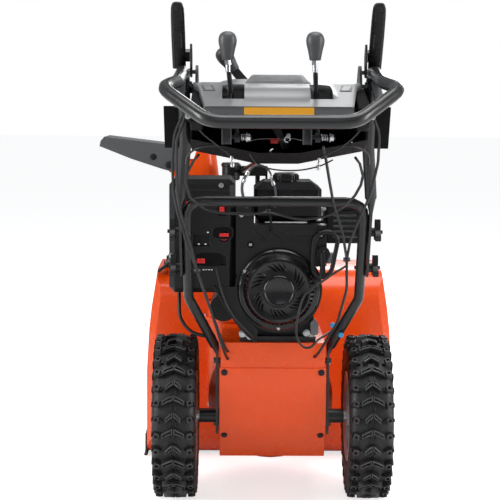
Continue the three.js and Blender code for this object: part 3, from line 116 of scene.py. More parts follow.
def add_node(tree, kind, values=None, **settings):
    """A new node with its settings and its inputs."""
    node = tree.nodes.new(kind)
    for label, value in settings.items():
        setattr(node, label, value)
    return wire(tree, node, values or {})


surround = bpy.data.worlds.new("surround")
scene.world = surround
surround.use_nodes = True
sky = surround.node_tree
sky.nodes.clear()
rays = add_node(sky, "ShaderNodeLightPath").outputs
seen = add_node(sky, "ShaderNodeMath", {
    0: rays["Is Camera Ray"], 1: rays["Is Transmission Ray"]}, operation="MAXIMUM")
SURROUND_LIGHT, FLOOR_GLOW = 0.31, 0.70
white = add_node(sky, "ShaderNodeBackground", {"Color": (1, 1, 1, 1), "Strength": 1.0})
soft = add_node(sky, "ShaderNodeBackground", {
    "Color": (0.95, 0.97, 1, 1), "Strength": SURROUND_LIGHT})
choose = add_node(sky, "ShaderNodeMixShader", {
    "Fac": seen.outputs[0], 1: soft.outputs[0], 2: white.outputs[0]})
add_node(sky, "ShaderNodeOutputWorld", {"Surface": choose.outputs[0]})

FLOOR_REACH = 30.0
floor_mesh = bpy.data.meshes.new("floor")
floor_mesh.from_pydata(
    [(x * FLOOR_REACH, y * FLOOR_REACH, 0) for x, y in ((-1, -1), (1, -1), (1, 1), (-1, 1))],
    [], [(0, 1, 2, 3)])
floor = in_scene("floor", floor_mesh)
floor.location.z = -0.0005
floor_paper = bpy.data.materials.new("floor_paper")
floor_paper.use_nodes = True
paper = floor_paper.node_tree
matt = wire(paper, paper.nodes["Principled BSDF"], {
    "Base Color": (0.86, 0.86, 0.86, 1), "Roughness": 0.9, "Specular IOR Level": 0.1})
to_camera = add_node(paper, "ShaderNodeLightPath").outputs["Is Camera Ray"]
share = add_node(paper, "ShaderNodeMath", {0: to_camera, 1: FLOOR_GLOW}, operation="MULTIPLY")
glow = add_node(paper, "ShaderNodeEmission", {"Color": (1, 1, 1, 1), "Strength": share.outputs[0]})
lit = add_node(paper, "ShaderNodeAddShader", {0: matt.outputs[0], 1: glow.outputs[0]})
wire(paper, paper.nodes["Material Output"], {"Surface": lit.outputs[0]})
floor_mesh.materials.append(floor_paper)

# -------------------- drive box and belly pan
# A box of folded steel sheet that carries the engine and the axle, with a bolted pan under it.
# Both are sprayed in glossy orange enamel; the axle's sleeves are welded on and painted dark.
AXLE_Y = -0.470  # the machine's places are measured from the ground below the axle


def place(x, y, z):
    """Millimetres from the point below the axle, as metres in the shared frame."""
    return Vector((x / 1000, y / 1000 + AXLE_Y, z / 1000))


def finish(name, colour, roughness, metallic=0.0, coat=0.0, specular=0.5,
           mottle=(0.06, 5), grain=(0.1, 500, 0.0004), spread=0.06, stretch=(1, 1, 1)):
    """A paint, plastic or metal for one slot: cloudy colour, uneven gloss and a fine grain.
    Mottle is its strength and scale; grain is its strength, scale and depth."""
    material = bpy.data.materials.new(name)
    material.use_nodes = True
    tree = material.node_tree
    where = add_node(tree, "ShaderNodeTexCoord")
    mapping = add_node(tree, "ShaderNodeMapping", {
        "Vector": where.outputs["Object"], "Scale": stretch})

    def noise(scale, detail):
        return add_node(tree, "ShaderNodeTexNoise", {
            "Vector": mapping.outputs["Vector"], "Scale": scale, "Detail": detail}).outputs["Fac"]

    tint = add_node(tree, "ShaderNodeMix", {
        0: noise(mottle[1], 3.0),
        6: [c * (1 - mottle[0]) for c in colour] + [1],
        7: [min(1.0, c * (1 + mottle[0])) for c in colour] + [1]}, data_type="RGBA")
    gloss = add_node(tree, "ShaderNodeMapRange", {
        "Value": noise(mottle[1] * 7, 4.0), "From Min": 0.3, "From Max": 0.7,
        "To Min": max(0.02, roughness - spread), "To Max": min(1.0, roughness + spread)})
    bump = add_node(tree, "ShaderNodeBump", {
        "Strength": grain[0], "Distance": grain[2], "Height": noise(grain[1], 2.0)})
    wire(tree, tree.nodes["Principled BSDF"], {
        "Metallic": metallic, "Coat Weight": coat, "Coat Roughness": 0.08,
        "Specular IOR Level": specular, "Base Color": tint.outputs[2],
        "Roughness": gloss.outputs["Result"], "Normal": bump.outputs["Normal"]})
    return material


orange_enamel = finish("orange_enamel", (0.80, 0.074, 0.003), 0.27, coat=0.16,
                       specular=0.42, mottle=(0.03, 5), grain=(0.03, 420, 0.0002), spread=0.012)
dark_enamel = finish("dark_enamel", (0.019, 0.0195, 0.0205), 0.33, metallic=0.20,
                     coat=0.25, specular=0.45, grain=(0.10, 700, 0.0002))
zinc_plate = finish("zinc_plate", (0.56, 0.57, 0.58), 0.30, metallic=0.95,
                    mottle=(0.12, 60), grain=(0.08, 900, 0.0001))
black_oxide = finish("black_oxide", (0.018, 0.018, 0.020), 0.38, metallic=0.6,
                     mottle=(0.15, 80), grain=(0.1, 900, 0.0001))


def body_of_node(node):
    """The body that the frame's node rides on."""
    return next(body for body, members in frame["record"]["behaviour"]["bodies"].items()
                if node in members)


def settle(piece):
    """Turns a piece's modifiers into plain mesh."""
    graph = bpy.context.evaluated_depsgraph_get()
    mesh = bpy.data.meshes.new_from_object(piece.evaluated_get(graph), depsgraph=graph)
    piece.modifiers.clear()
    piece.data = mesh
    return piece


def broken(piece, width=0.0010, segments=2, angle=35, harden=True):
    """Breaks every corner of a piece that is sharper than the angle, in degrees."""
    edge = piece.modifiers.new("corner", "BEVEL")
    edge.width, edge.segments, edge.harden_normals = width, segments, harden
    edge.limit_method, edge.angle_limit = "ANGLE", radians(angle)
    return settle(piece)


def shell_of(node, name, material, corner=0.0008, angle=38, second=None):
    """A clean copy of a frame node with its corners broken, as folded or moulded ones are."""
    weld_gap, flat_angle = 0.00002, radians(0.6)
    mesh = frame["nodes"][node].data.copy()
    mesh.name = name
    mesh.materials.clear()
    for coat in (material, second) if second else (material,):
        mesh.materials.append(coat)
    if mesh.has_custom_normals:
        mesh.attributes.remove(mesh.attributes["custom_normal"])
    work = bmesh.new()
    work.from_mesh(mesh)
    bmesh.ops.remove_doubles(work, verts=work.verts, dist=weld_gap)
    bmesh.ops.dissolve_limit(work, angle_limit=flat_angle, verts=work.verts, edges=work.edges)
    for face in work.faces:
        face.smooth = True
    work.to_mesh(mesh)
    work.free()
    piece = in_scene(name, mesh)
    return broken(piece, corner, angle=angle) if corner else piece


def second_coat(piece, is_covered):
    """Gives a piece's second finish to the faces that the test picks."""
    for face in piece.data.polygons:
        if is_covered(face):
            face.material_index = 1


def fit(piece, body, *nodes, slot=None):
    """Fixes a finished piece to its body, in place of the frame's own nodes if it has any.
    The slot argument is not used."""
    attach(piece, body)
    if nodes:
        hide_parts(*nodes)
    return piece


def dress(node, name, material, corner=0.0008, angle=38):
    """Puts a finished copy of a frame node in its place."""
    return fit(shell_of(node, name, material, corner, angle), body_of_node(node), node)


def geometry_tree(name, inputs):
    """A node group with a geometry in and out, and named inputs with their values."""
    tree = bpy.data.node_groups.new(name, "GeometryNodeTree")
    tree.interface.new_socket("Geometry", in_out="INPUT", socket_type="NodeSocketGeometry")
    kinds = {int: "NodeSocketInt", float: "NodeSocketFloat", tuple: "NodeSocketVector"}
    for label, value in inputs.items():
        kind = kinds.get(type(value), "NodeSocketMaterial")
        socket = tree.interface.new_socket(label, in_out="INPUT", socket_type=kind)
        if kind != "NodeSocketMaterial":
            socket.default_value = value
    tree.interface.new_socket("Geometry", in_out="OUTPUT", socket_type="NodeSocketGeometry")
    return tree, tree.nodes.new("NodeGroupInput").outputs, tree.nodes.new("NodeGroupOutput")


def run_tree(piece, tree, values):
    """Runs a tree on a piece with these values and keeps the result as plain mesh."""
    modifier = piece.modifiers.new(tree.name, "NODES")
    modifier.node_group = tree
    for item in tree.interface.items_tree:
        if item.in_out == "INPUT" and item.name in values:
            modifier[item.identifier] = values[item.name]
    return settle(piece)


def scattered(tree, given, out, points, part, turn=None):
    """Ends a tree: the part on each point, made real and coated in the given finish."""
    spread = add_node(tree, "GeometryNodeInstanceOnPoints", {"Points": points, "Instance": part})
    if turn:
        wire(tree, spread, {"Rotation": turn})
    real = add_node(tree, "GeometryNodeRealizeInstances", {0: spread.outputs[0]})
    coated = add_node(tree, "GeometryNodeSetMaterial", {
        "Geometry": real.outputs[0], "Material": given["Finish"]})
    wire(tree, out, {0: coated.outputs[0]})
    return tree


def fastener_tree():
    """Screw or bolt heads on points, each facing the way its point says."""
    tree, given, out = geometry_tree("fasteners", {
        "Head Radius": 0.005, "Head Height": 0.004, "Sides": 6, "Washer Radius": 0.007,
        "Finish": None})
    half = add_node(tree, "ShaderNodeMath", {0: given["Head Height"], 1: 0.5},
                    operation="MULTIPLY")
    lift = add_node(tree, "ShaderNodeCombineXYZ", {"Z": half.outputs[0]})
    head = add_node(tree, "GeometryNodeMeshCylinder", {
        "Vertices": given["Sides"], "Radius": given["Head Radius"], "Depth": given["Head Height"]})
    raised = add_node(tree, "GeometryNodeTransform", {
        "Geometry": head.outputs["Mesh"], "Translation": lift.outputs[0]})
    washer = add_node(tree, "GeometryNodeMeshCylinder", {
        "Vertices": 20, "Radius": given["Washer Radius"], "Depth": half.outputs[0]})
    both = add_node(tree, "GeometryNodeJoinGeometry", {0: raised.outputs[0]})
    wire(tree, both, {0: washer.outputs["Mesh"]})
    facing = add_node(tree, "GeometryNodeInputNamedAttribute", {"Name": "facing"},
                      data_type="FLOAT_VECTOR")
    aim = add_node(tree, "FunctionNodeAlignRotationToVector", {
        "Vector": facing.outputs["Attribute"]}, axis="Z")
    return scattered(tree, given, out, given["Geometry"], both.outputs[0],
                     aim.outputs["Rotation"])


heads_on_points = fastener_tree()
REAR, FRONT, UP = (0, -1, 0), (0, 1, 0), (0, 0, 1)


def fasteners(name, spots, material=zinc_plate, body="chassis", radius=5.0, height=4.0, sides=6,
              washer=None, slot=None):
    """Heads at [(x, y, z), facing] places, in millimetres, on one body."""
    washer_share, edge_share = 1.35, 0.16  # of the head's radius
    mesh = bpy.data.meshes.new(name)
    mesh.from_pydata([place(*spot) for spot, _ in spots], [], [])
    facing = mesh.attributes.new("facing", "FLOAT_VECTOR", "POINT")
    facing.data.foreach_set("vector", [c for _, way in spots for c in Vector(way).normalized()])
    piece = in_scene(name, mesh)
    run_tree(piece, heads_on_points, {
        "Head Radius": radius / 1000, "Head Height": height / 1000, "Sides": sides,
        "Washer Radius": (washer or radius * washer_share) / 1000, "Finish": material})
    broken(piece, radius / 1000 * edge_share, angle=50, harden=False)
    return fit(piece, body, slot=slot)


box_shell = shell_of("chassis_box", "drive_box", orange_enamel, 0.0012, second=dark_enamel)
SLEEVE_X = 0.1185  # the axle's sleeves stand out beyond the box's sides
second_coat(box_shell, lambda face: abs(face.center.x) > SLEEVE_X)
fit(box_shell, "chassis", "chassis_box")
dress("belly_pan", "belly_pan_sheet", orange_enamel, 0.0010)
PAN_SLOPE = (0, -0.823, -0.567)
fasteners("pan_screws",
          [((side * 109, -128.2, 316), REAR) for side in (-1, 1)]
          + [((side * 109, -104.6, 168), PAN_SLOPE) for side in (-1, 1)],
          black_oxide, slot="dark_paint", radius=6.0, height=3.4, sides=24, washer=7.5)
fasteners("box_screws",
          [((side * 117, y, z), (side, 0, 0)) for side in (-1, 1)
           for y, z in ((-40, 365), (60, 365), (125, 330), (125, 160))],
          radius=5.5, height=4.5)

# -------------------- belts, pulleys and friction drive
# Inside the box: turned steel pulleys and a disc, rubber vee belts, and a rubber rimmed wheel
# that slides on a hexagonal shaft. The belt cover in front is moulded black plastic.
turned_steel = finish("turned_steel", (0.50, 0.51, 0.52), 0.32, metallic=0.95,
                      mottle=(0.10, 30), grain=(0.15, 300, 0.0004), stretch=(1, 8, 8))
belt_rubber = finish("belt_rubber", (0.016, 0.016, 0.017), 0.70, mottle=(0.15, 40),
                     grain=(0.25, 700, 0.0004))
black_moulding = finish("black_moulding", (0.0070, 0.0070, 0.0075), 0.38,
                        specular=0.35, mottle=(0.12, 12), grain=(0.16, 900, 0.0003))
for node, name in (("axle_shaft", "axle"), ("hex_shaft", "hexagon_shaft"),
                   ("friction_disc", "drive_plate"), ("auger_pulley", "impeller_pulley"),
                   ("engine_pulley", "crank_pulleys")):
    dress(node, name, turned_steel, 0.0006)
for node, name in (("auger_belt", "impeller_belt"), ("drive_belt", "traction_belt"),
                   ("friction_wheel", "traction_wheel")):
    dress(node, name, belt_rubber, 0.0006)
dress("belt_cover", "belt_guard", black_moulding, 0.0025)
fasteners("belt_guard_screws",
          [((x, 146, z), FRONT) for x, z in ((-62, 400), (62, 400), (-48, 540), (58, 540))],
          radius=5, height=4)

# -------------------- wheels
# Pressed steel rims, sprayed pale grey, with deep lugged snow tyres of black rubber. Four bolts
# hold each rim, and a moulded cap covers the axle's end.
rim_coat = finish("rim_coat", (0.58, 0.585, 0.59), 0.34, metallic=0.2, coat=0.2,
                  grain=(0.08, 500, 0.0004))
tyre_rubber = finish("tyre_rubber", (0.0110, 0.0110, 0.0115), 0.50, mottle=(0.22, 14),
                     grain=(0.35, 420, 0.0006), spread=0.12)
rubber = tyre_rubber.node_tree
# Painted highlight: faces marked in the tread get a paler rubber colour, standing in for light on the
# blocks' lips.
lip_highlight = add_node(rubber, "ShaderNodeAttribute", attribute_name="lip_highlight")
base = rubber.nodes["Principled BSDF"].inputs["Base Color"]
lip_highlight_mix = add_node(rubber, "ShaderNodeMix", {  # painted highlight: the blocks' lips are painted paler, as lit edges
    0: lip_highlight.outputs["Fac"], 6: base.links[0].from_socket, 7: (0.085, 0.085, 0.088, 1)},
    data_type="RGBA")
rubber.links.new(lip_highlight_mix.outputs[2], base)


def new_piece(name, work, material, smooth_angle=35):
    """A piece from a bmesh in the shared frame, smooth except over its sharp corners."""
    bmesh.ops.recalc_face_normals(work, faces=work.faces)
    mesh = bpy.data.meshes.new(name)
    for face in work.faces:
        face.smooth = True
    work.to_mesh(mesh)
    work.free()
    mesh.set_sharp_from_angle(angle=radians(smooth_angle))
    mesh.materials.append(material)
    return in_scene(name, mesh)


def mount(name, work, material, body="chassis", smooth=35, corner=None, at=None, node=None,
          slot=None):
    """Makes a piece, breaks its corners, moves it to its place and fixes it to its body."""
    piece = new_piece(name, work, material, smooth)
    if corner:
        broken(piece, *corner)
    if at:
        piece.data.transform(at)
    return fit(piece, body, *([node] if node else []), slot=slot)


def skin(work, rings, lids=True):
    """Faces from each ring of corners to the next, with a lid on both ends."""
    for near, far in zip(rings, rings[1:]):
        for j in range(len(near)):
            k = (j + 1) % len(near)
            work.faces.new([near[j], near[k], far[k], far[j]])
    return [work.faces.new(ring) for ring in (rings[0], rings[-1])] if lids else []


def lathe(work, profile, sides, start=0.0, sweep=None):
    """Turns a closed (radius, along) outline round the local Y axis, in metres."""
    rings = []
    for i in range(sides + 1 if sweep else sides):
        a = start + (sweep or 2 * pi) * i / sides
        rings.append([work.verts.new((r * cos(a), y, r * sin(a))) for r, y in profile])
    skin(work, rings if sweep else rings + rings[:1], lids=bool(sweep))


def round_array_tree():
    """Copies of one piece in even steps round an axis through the origin."""
    tree, given, out = geometry_tree("round_array", {
        "Count": 12, "Axis": (0.0, 1.0, 0.0), "Finish": None})
    line = add_node(tree, "GeometryNodeMeshLine", {"Offset": (0, 0, 0), "Count": given["Count"]})
    step = add_node(tree, "ShaderNodeMath", {0: 2 * pi, 1: given["Count"]},
                    operation="DIVIDE")
    index = add_node(tree, "GeometryNodeInputIndex")
    angle = add_node(tree, "ShaderNodeMath", {0: index.outputs[0], 1: step.outputs[0]},
                     operation="MULTIPLY")
    turn = add_node(tree, "ShaderNodeVectorMath", {0: given["Axis"], "Scale": angle.outputs[0]},
                    operation="SCALE")
    return scattered(tree, given, out, line.outputs[0], given["Geometry"], turn.outputs[0])


all_round = round_array_tree()


def mount_round(name, work, material, body, count, axis, centre, smooth=35):
    """Fixes copies of one piece in even steps round an axis through their centre."""
    piece = new_piece(name, work, material, smooth)
    run_tree(piece, all_round, {"Count": count, "Axis": axis, "Finish": material})
    piece.data.transform(Matrix.Translation(centre))
    return fit(piece, body)


def on_circle(centre, radius, angles, facing):
    """Places for fasteners on a circle square to the way they face."""
    flat = [axis for axis in range(3) if not facing[axis]]
    spots = []
    for a in angles:
        spot = list(centre)
        spot[flat[0]] += radius * cos(a)
        spot[flat[1]] += radius * sin(a)
        spots.append((spot, facing))
    return spots


TYRE_R, TREAD_ROWS = 0.1902, 32
PITCH = 2000 * pi * TYRE_R / TREAD_ROWS  # millimetres from row to row
SIDES = (-1, "left"), (1, "right")
HUB_X, HUB_Z = 222, 190.5  # a wheel's middle, from the machine's middle and the ground


def lug(work, outline, top, root, rim=0.0):
    """A bevelled rubber block on the tread, slotted inside its rim if it has one. The outline
    is (across, round) points in millimetres."""
    root_spread, arch, lip = 1.14, 1.1, 0.0013

    def on_tread(across, round_by, r):
        a = round_by / 1000 / TYRE_R
        return work.verts.new((across / 1000, r * cos(a), r * sin(a)))

    mid = [sum(c) / len(outline) for c in zip(*outline)]
    low = [on_tread(*[m + (c - m) * root_spread for c, m in zip(p, mid)], root) for p in outline]
    high = [on_tread(*p, top - arch * (p[0] / 1000) ** 2 - lip) for p in outline]
    cap = skin(work, [low, high])[1]
    cap.normal_update()
    if cap.normal.y < 0:
        cap.normal_flip()
    # Each cut's last number is its share of the painted highlight on the lips.
    cuts = [(0.0012, lip, 0.22)]
    if rim:
        cuts += [(rim, 0.0, 0.12), (0.0015, 0.0003, 1.0), (0.0004, -0.0046, 0.0)]
    lip_highlight_layer = work.faces.layers.float["lip_highlight"]
    for inwards, outwards, share in cuts:
        edge = bmesh.ops.inset_individual(work, faces=[cap], thickness=inwards, depth=outwards)
        for face in edge["faces"]:
            face[lip_highlight_layer] = share


def snow_tyre(word, side):
    """A ribbed carcass with rows of chevron bars, slotted shoulder blocks and side lugs."""
    half = [(0.106, 0.0445), (0.112, 0.0478), (0.128, 0.0490), (0.131, 0.0478), (0.146, 0.0482),
            (0.149, 0.0495), (0.158, 0.0490), (0.166, 0.0462), (0.1720, 0.0405),
            (0.1755, 0.0310), (0.1775, 0.0150), (0.1780, 0.0)]
    profile = ([(r, -a) for r, a in half] + [(r, a) for r, a in reversed(half[:-1])]
               + [(0.0868, 0.036), (0.0868, -0.036)])
    carcass = bmesh.new()
    lathe(carcass, profile, 72)
    hub = place(side * HUB_X, 0, HUB_Z)
    mount(f"{word}_snow_tyre", carcass, tyre_rubber, f"{word}_wheel", 40, node=f"{word}_tyre",
          at=Matrix.Translation(hub) @ Matrix.Rotation(-pi / 2, 4, "Z"))
    wide_bar = [(0.4, -10), (13, -5), (26, 3), (25, 14), (12, 7), (0.4, 3)]
    steep_bar = [(0.4, -9), (8.5, -4.5), (18.5, 6), (16.5, 16), (7.5, 8), (0.4, 3.5)]
    shoulder = [(29.5, 3.5), (41, -0.5), (45.5, 11.5), (32.5, 16.5)]
    row = bmesh.new()
    row.faces.layers.float.new("lip_highlight")
    for along, bar in ((0, wide_bar), (PITCH, steep_bar)):
        for way in (-1, 1):
            for outline, top, root, rim in (
                    (bar, TYRE_R, 0.1735, 0.0006), (shoulder, TYRE_R, 0.166, 0.0008),
                    ([(24.5, 6), (31, 8), (32, 14), (24.5, 13)], 0.1825, 0.172, 0),
                    ([(44.4, 2), (48.8, 3.5), (49.2, 12.5), (45.6, 10.5)], 0.1822, 0.158, 0),
                    ([(4.5, 12), (7.5, 12), (7.5, 25), (4.5, 25)], 0.1815, 0.175, 0)):
                lug(row, [(way * x, s + along) for x, s in outline], top, root, rim)
    mount_round(f"{word}_tread", row, tyre_rubber, f"{word}_wheel", TREAD_ROWS // 2,
                (1.0, 0.0, 0.0), hub, 30)


for side, word in SIDES:
    dress(f"{word}_rim", f"{word}_wheel_rim", rim_coat, 0.0012, 30)
    snow_tyre(word, side)
    outwards = (side, 0, 0)
    fasteners(f"{word}_hub_bolts",
              on_circle((side * (HUB_X + 4), 0, HUB_Z), 46,
                        [i * pi / 2 + 0.4 for i in range(4)], outwards),
              body=f"{word}_wheel", radius=6.5, height=6)
    fasteners(f"{word}_hub_cap", [((side * 268, 0, HUB_Z), outwards)], black_moulding, "axle",
              radius=13.5, height=5, sides=24, washer=14)

# -------------------- drum and auger housing
# Rolled and welded sheet in the same orange enamel. The scraper bar and the two shoes are
# bolted on, in dark paint, and a plastic clean-out tool is clipped on the left shoulder.
dress("impeller_drum", "impeller_case", orange_enamel, 0.0008, 30)
dress("auger_housing", "housing_sheet", orange_enamel, 0.0012, 30)
dress("scraper_bar", "scraper_blade", dark_enamel, 0.0008)
fasteners("scraper_bolts", [((x, 488, 5.8), UP) for x in (-240, -80, 80, 240)],
          radius=6, height=5)
AUGER_Y, AUGER_Z, DRUM_Z = 480, 168, 205
for side, word in SIDES:
    dress(f"{word}_skid_shoe", f"{word}_shoe", dark_enamel, 0.0010)
    fasteners(f"{word}_shoe_bolts", [((side * 311.8, y, 42), (-side, 0, 0)) for y in (415, 545)],
              radius=6, height=5)
    fasteners(f"{word}_bearing_bolts",
              on_circle((side * 314, AUGER_Y, AUGER_Z), 34,
                        (pi / 2, pi * 7 / 6, pi * 11 / 6), (side, 0, 0)),
              radius=5.5, height=4)
fasteners("drum_flange_bolts",
          on_circle((0, 318, DRUM_Z), 159,
                    [radians(d) for d in (20, 65, 160, 200, 250, 290, 340)], REAR),
          radius=5.5, height=4.5)


def block(work, x0, x1, y0, y1, z0, z1):
    """A square block between these limits, in millimetres."""
    middle = place((x0 + x1) / 2, (y0 + y1) / 2, (z0 + z1) / 2)
    size = ((x1 - x0) / 1000, (y1 - y0) / 1000, (z1 - z0) / 1000, 1)
    bmesh.ops.create_cube(work, size=1, matrix=Matrix.Translation(middle) @ Matrix.Diagonal(size))


tool, tool_shaft, clips = bmesh.new(), bmesh.new(), bmesh.new()
bmesh.ops.create_cube(tool, size=1, matrix=Matrix.Translation(place(-267, 349, 500))
                      @ Matrix.Rotation(radians(-36), 4, "Y")
                      @ Matrix.Diagonal((0.042, 0.026, 0.007, 1)))
shaft_sides = 14
for y0, y1, r in ((362, 560, 6.0), (560, 600, 9.0)):
    skin(tool_shaft, [[tool_shaft.verts.new(place(-262 + r * cos(a), y, 501 + r * sin(a)))
                       for a in [2 * pi * i / shaft_sides for i in range(shaft_sides)]]
                      for y in (y0, y1)])
for y in (410, 530):
    for x0, x1, z0, z1 in ((-272, -269, 492.4, 509), (-255, -252, 492.4, 509),
                           (-272, -252, 492.4, 494.6)):
        block(clips, x0, x1, y - 6, y + 6, z0, z1)
for work, name in ((tool, "clean_out_blade"), (tool_shaft, "clean_out_shaft"),
                   (clips, "clean_out_clips")):
    mount(name, work, black_moulding, corner=(0.0012, 2, 40, False))

# -------------------- augers, gearbox and impeller
# Two ribbon flights of dark painted steel on a bare shaft, a cast gearbox between them, and
# a four bladed orange impeller behind.
cast_metal = finish("cast_metal", (0.20, 0.205, 0.21), 0.55, metallic=0.75,
                    mottle=(0.18, 25), grain=(0.5, 350, 0.0006))
dress("auger_shaft", "auger_axle", turned_steel, 0.0006)
dress("left_auger", "left_flight", dark_enamel, 0.0010, 40)
dress("right_auger", "right_flight", dark_enamel, 0.0010, 40)
dress("auger_gearbox", "worm_case", cast_metal, 0.0020, 30)
dress("impeller", "impeller_wheel", orange_enamel, 0.0008, 35)
fasteners("shear_bolts", [((side * 66, AUGER_Y, 190), UP) for side in (-1, 1)],
          body="augers", height=6)
fasteners("worm_case_bolts",
          [spot for side in (-1, 1)
           for spot in on_circle((side * 18, AUGER_Y, AUGER_Z), 43,
                                 [i * pi / 3 + 0.5 for i in range(6)], (side, 0, 0))],
          radius=4, height=3)

# -------------------- chute and deflector
# The chute is bent orange sheet on a turning ring; the deflector on top is grey plastic on two
# hinge pins. A steel post with a small pinion turns the ring.
grey_moulding = finish("grey_moulding", (0.072, 0.074, 0.077), 0.40,
                       mottle=(0.10, 10), grain=(0.15, 900, 0.0003))
dress("chute", "chute_sheet", orange_enamel, 0.0008, 32)
dress("deflector", "deflector_hood", grey_moulding, 0.0012, 30)
dress("chute_drive", "chute_post", black_oxide, 0.0006)
dress("chute_bracket", "chute_post_bracket", black_moulding, 0.0035)
CHUTE_X, CHUTE_Y = -90, 240
gear_case = bmesh.new()
lathe(gear_case, [(0, 0.732), (0.019, 0.732), (0.0215, 0.735), (0.0215, 0.764), (0.0235, 0.766),
                  (0.0235, 0.7705), (0.0205, 0.774), (0, 0.774)], 36)
UPRIGHT = Matrix.Rotation(pi / 2, 4, "X")  # stands a turned piece on end
mount("gear_case", gear_case, black_moulding, at=Matrix.Translation(place(-98, 150, 0)) @ UPRIGHT)
fasteners("hinge_bolts", [((-247, CHUTE_Y + side * 76.5, 767), (0, side, 0)) for side in (-1, 1)],
          black_oxide, "chute_body", radius=6.5, height=5, washer=9)
fasteners("hood_bolts", [((-285, CHUTE_Y + side * 71.5, 786), (0, side, 0)) for side in (-1, 1)],
          black_oxide, "deflector_body", radius=5.5, height=3, washer=8)
fasteners("ring_bolts",
          on_circle((CHUTE_X, CHUTE_Y, 391), 70,
                    [radians(d) for d in (40, 110, 180, 250, 320)], UP),
          body="chute_body", radius=3.6, height=4, washer=4.5)
fasteners("bracket_bolt", [((-34, 159, 765.8), UP)], radius=7, height=6)

# -------------------- engine
# A cast crankcase and finned barrel under a black fan shroud, with a gloss black tank, a
# silencer in a louvred guard, and an electric starting motor on the left.
gloss_moulding = finish("gloss_moulding", (0.0060, 0.0060, 0.0068), 0.20,
                        coat=0.12, specular=0.40, mottle=(0.10, 8), grain=(0.04, 300, 0.0004),
                        spread=0.05)
matt_moulding = finish("matt_moulding", (0.0055, 0.0055, 0.0060), 0.72,
                       specular=0.10, mottle=(0.15, 12), grain=(0.3, 800, 0.0004))
painted_casting = finish("painted_casting", (0.016, 0.016, 0.017), 0.50, metallic=0.3,
                         mottle=(0.2, 30), grain=(0.5, 350, 0.0005))
dress("engine_block", "crankcase_casting", painted_casting, 0.0012)
dress("electric_starter", "starting_motor", black_moulding, 0.0012)
dress("fan_shroud", "cooling_shroud", black_moulding, 0.0025)
tank = shell_of("fuel_tank", "tank_moulding", gloss_moulding, 0.0060, 20, second=matt_moulding)
second_coat(tank, lambda face: face.normal.z > 0.6)
fit(tank, "chassis", "fuel_tank")
dress("muffler", "silencer_can", turned_steel, 0.0030, 20)
dress("muffler_guard", "silencer_guard", black_moulding, 0.0012)


def outlined(work, outline, y0, y1):
    """A flat plate square to Y, its outline in (x, z) millimetres."""
    skin(work, [[work.verts.new(place(x, y, z)) for x, z in outline] for y in (y0, y1)])


skirt = bmesh.new()
outlined(skirt, [(-132, 512), (-74, 512), (-72, 470), (-58, 440), (-34, 417), (-38, 388),
                 (-56, 402), (-84, 434), (-112, 476)], -151.5, -146)
outlined(skirt, [(-133, 512), (-113, 475), (-85, 433), (-57, 401), (-39, 387), (-36, 391),
                 (-54, 405), (-82, 437), (-109, 479), (-128, 512)], -158, -146)
mount("shroud_skirt", skirt, black_moulding, corner=(0.0010,))
trim = bmesh.new()
for outline in (((-53, 637), (-40, 637), (-15, 614), (-29, 614)),
                ((-22, 637), (-7, 637), (22, 614), (4, 614)),
                ((15, 637), (100, 637), (100, 614), (38, 614))):
    outlined(trim, outline, -151.3, -149)
    mid_x, mid_z = (sum(c) / 4 for c in zip(*outline))
    outlined(trim, [(mid_x + (x - mid_x) * 0.82, mid_z + (z - mid_z) * 0.62) for x, z in outline],
             -152.1, -149)
outlined(trim, [(6, 590), (11, 585), (16, 590), (16, 594), (11, 589), (6, 594)], -162, -158)
mount("shroud_chevrons", trim, gloss_moulding, corner=(0.0005,))
duct = bmesh.new()
outlined(duct, [(-87, 498), (-87, 704), (-44, 704), (-44, 646), (-68, 640), (-68, 498)],
         -138, -74)
mount("intake_duct", duct, matt_moulding, corner=(0.0025,))
castings = bmesh.new()
outlined(castings, [(-70, 398), (-70, 426), (-60, 432), (-44, 424), (-40, 398)], -118, -104)
outlined(castings, [(83, 400), (83, 430), (94, 436), (102, 424), (102, 400)], -116, -100)
outlined(castings, [(119, 560), (121, 582), (134, 585), (136, 566), (128, 560)], -108, -92)
mount("engine_bosses", castings, cast_metal, corner=(0.0025,))
ENGINE_BACK = -150
fasteners("engine_base_bolts",
          [((x, -119, z), REAR) for x, z in ((-69, 402), (-52, 397), (75, 405))],
          radius=6.2, height=6, washer=8)
blue_moulding = finish("blue_moulding", (0.03, 0.30, 0.60), 0.40,
                       mottle=(0.05, 5))
fasteners("drain_caps", [((133, -124, 424), REAR), ((152, -124, 402), REAR)], blue_moulding,
          radius=6.0, height=9, sides=12, washer=4)
shroud_holes = [((x, ENGINE_BACK, z), REAR) for x, z in ((-51.7, 606.6), (104, 628))]
fasteners("shroud_screws", shroud_holes + [((-72, ENGINE_BACK, 672), REAR)],
          radius=3.8, height=4, washer=4.8)
fasteners("shroud_screw_wells", shroud_holes, matt_moulding, radius=7.4, height=1.2, sides=24,
          washer=8)
fasteners("engine_feet_bolts", [((x, y, 395.3), UP) for x in (-62, 86) for y in (-104, 70)],
          radius=7, height=6)

# -------------------- recoil starter
# A dished black cover with swirled louvres round a plain hub; the red fan shows between them.
# A moulded loop handle on a stub of rope stands at its upper right.
CRANK_X, CRANK_Z = 11, 507
CRANK = place(CRANK_X, -150.3, CRANK_Z)
fan_red = finish("fan_red", (0.30, 0.010, 0.010), 0.35, mottle=(0.06, 5),
                 grain=(0.1, 500, 0.0004))
dish = bmesh.new()
lathe(dish, [(0.0, -0.0372), (0.028, -0.0372), (0.0305, -0.0392), (0.033, -0.0380),
             (0.036, -0.0342), (0.050, -0.0328), (0.062, -0.0335), (0.0665, -0.0352),
             (0.0695, -0.0340), (0.0705, -0.0290), (0.066, -0.0270), (0.0, -0.0280)], 72)
lathe(dish, [(0.0780, -0.0150), (0.0830, -0.0135), (0.0865, -0.0120), (0.0910, -0.0075),
             (0.0920, -0.0003), (0.0860, -0.0003), (0.0800, -0.0080), (0.0775, -0.0120)], 72)
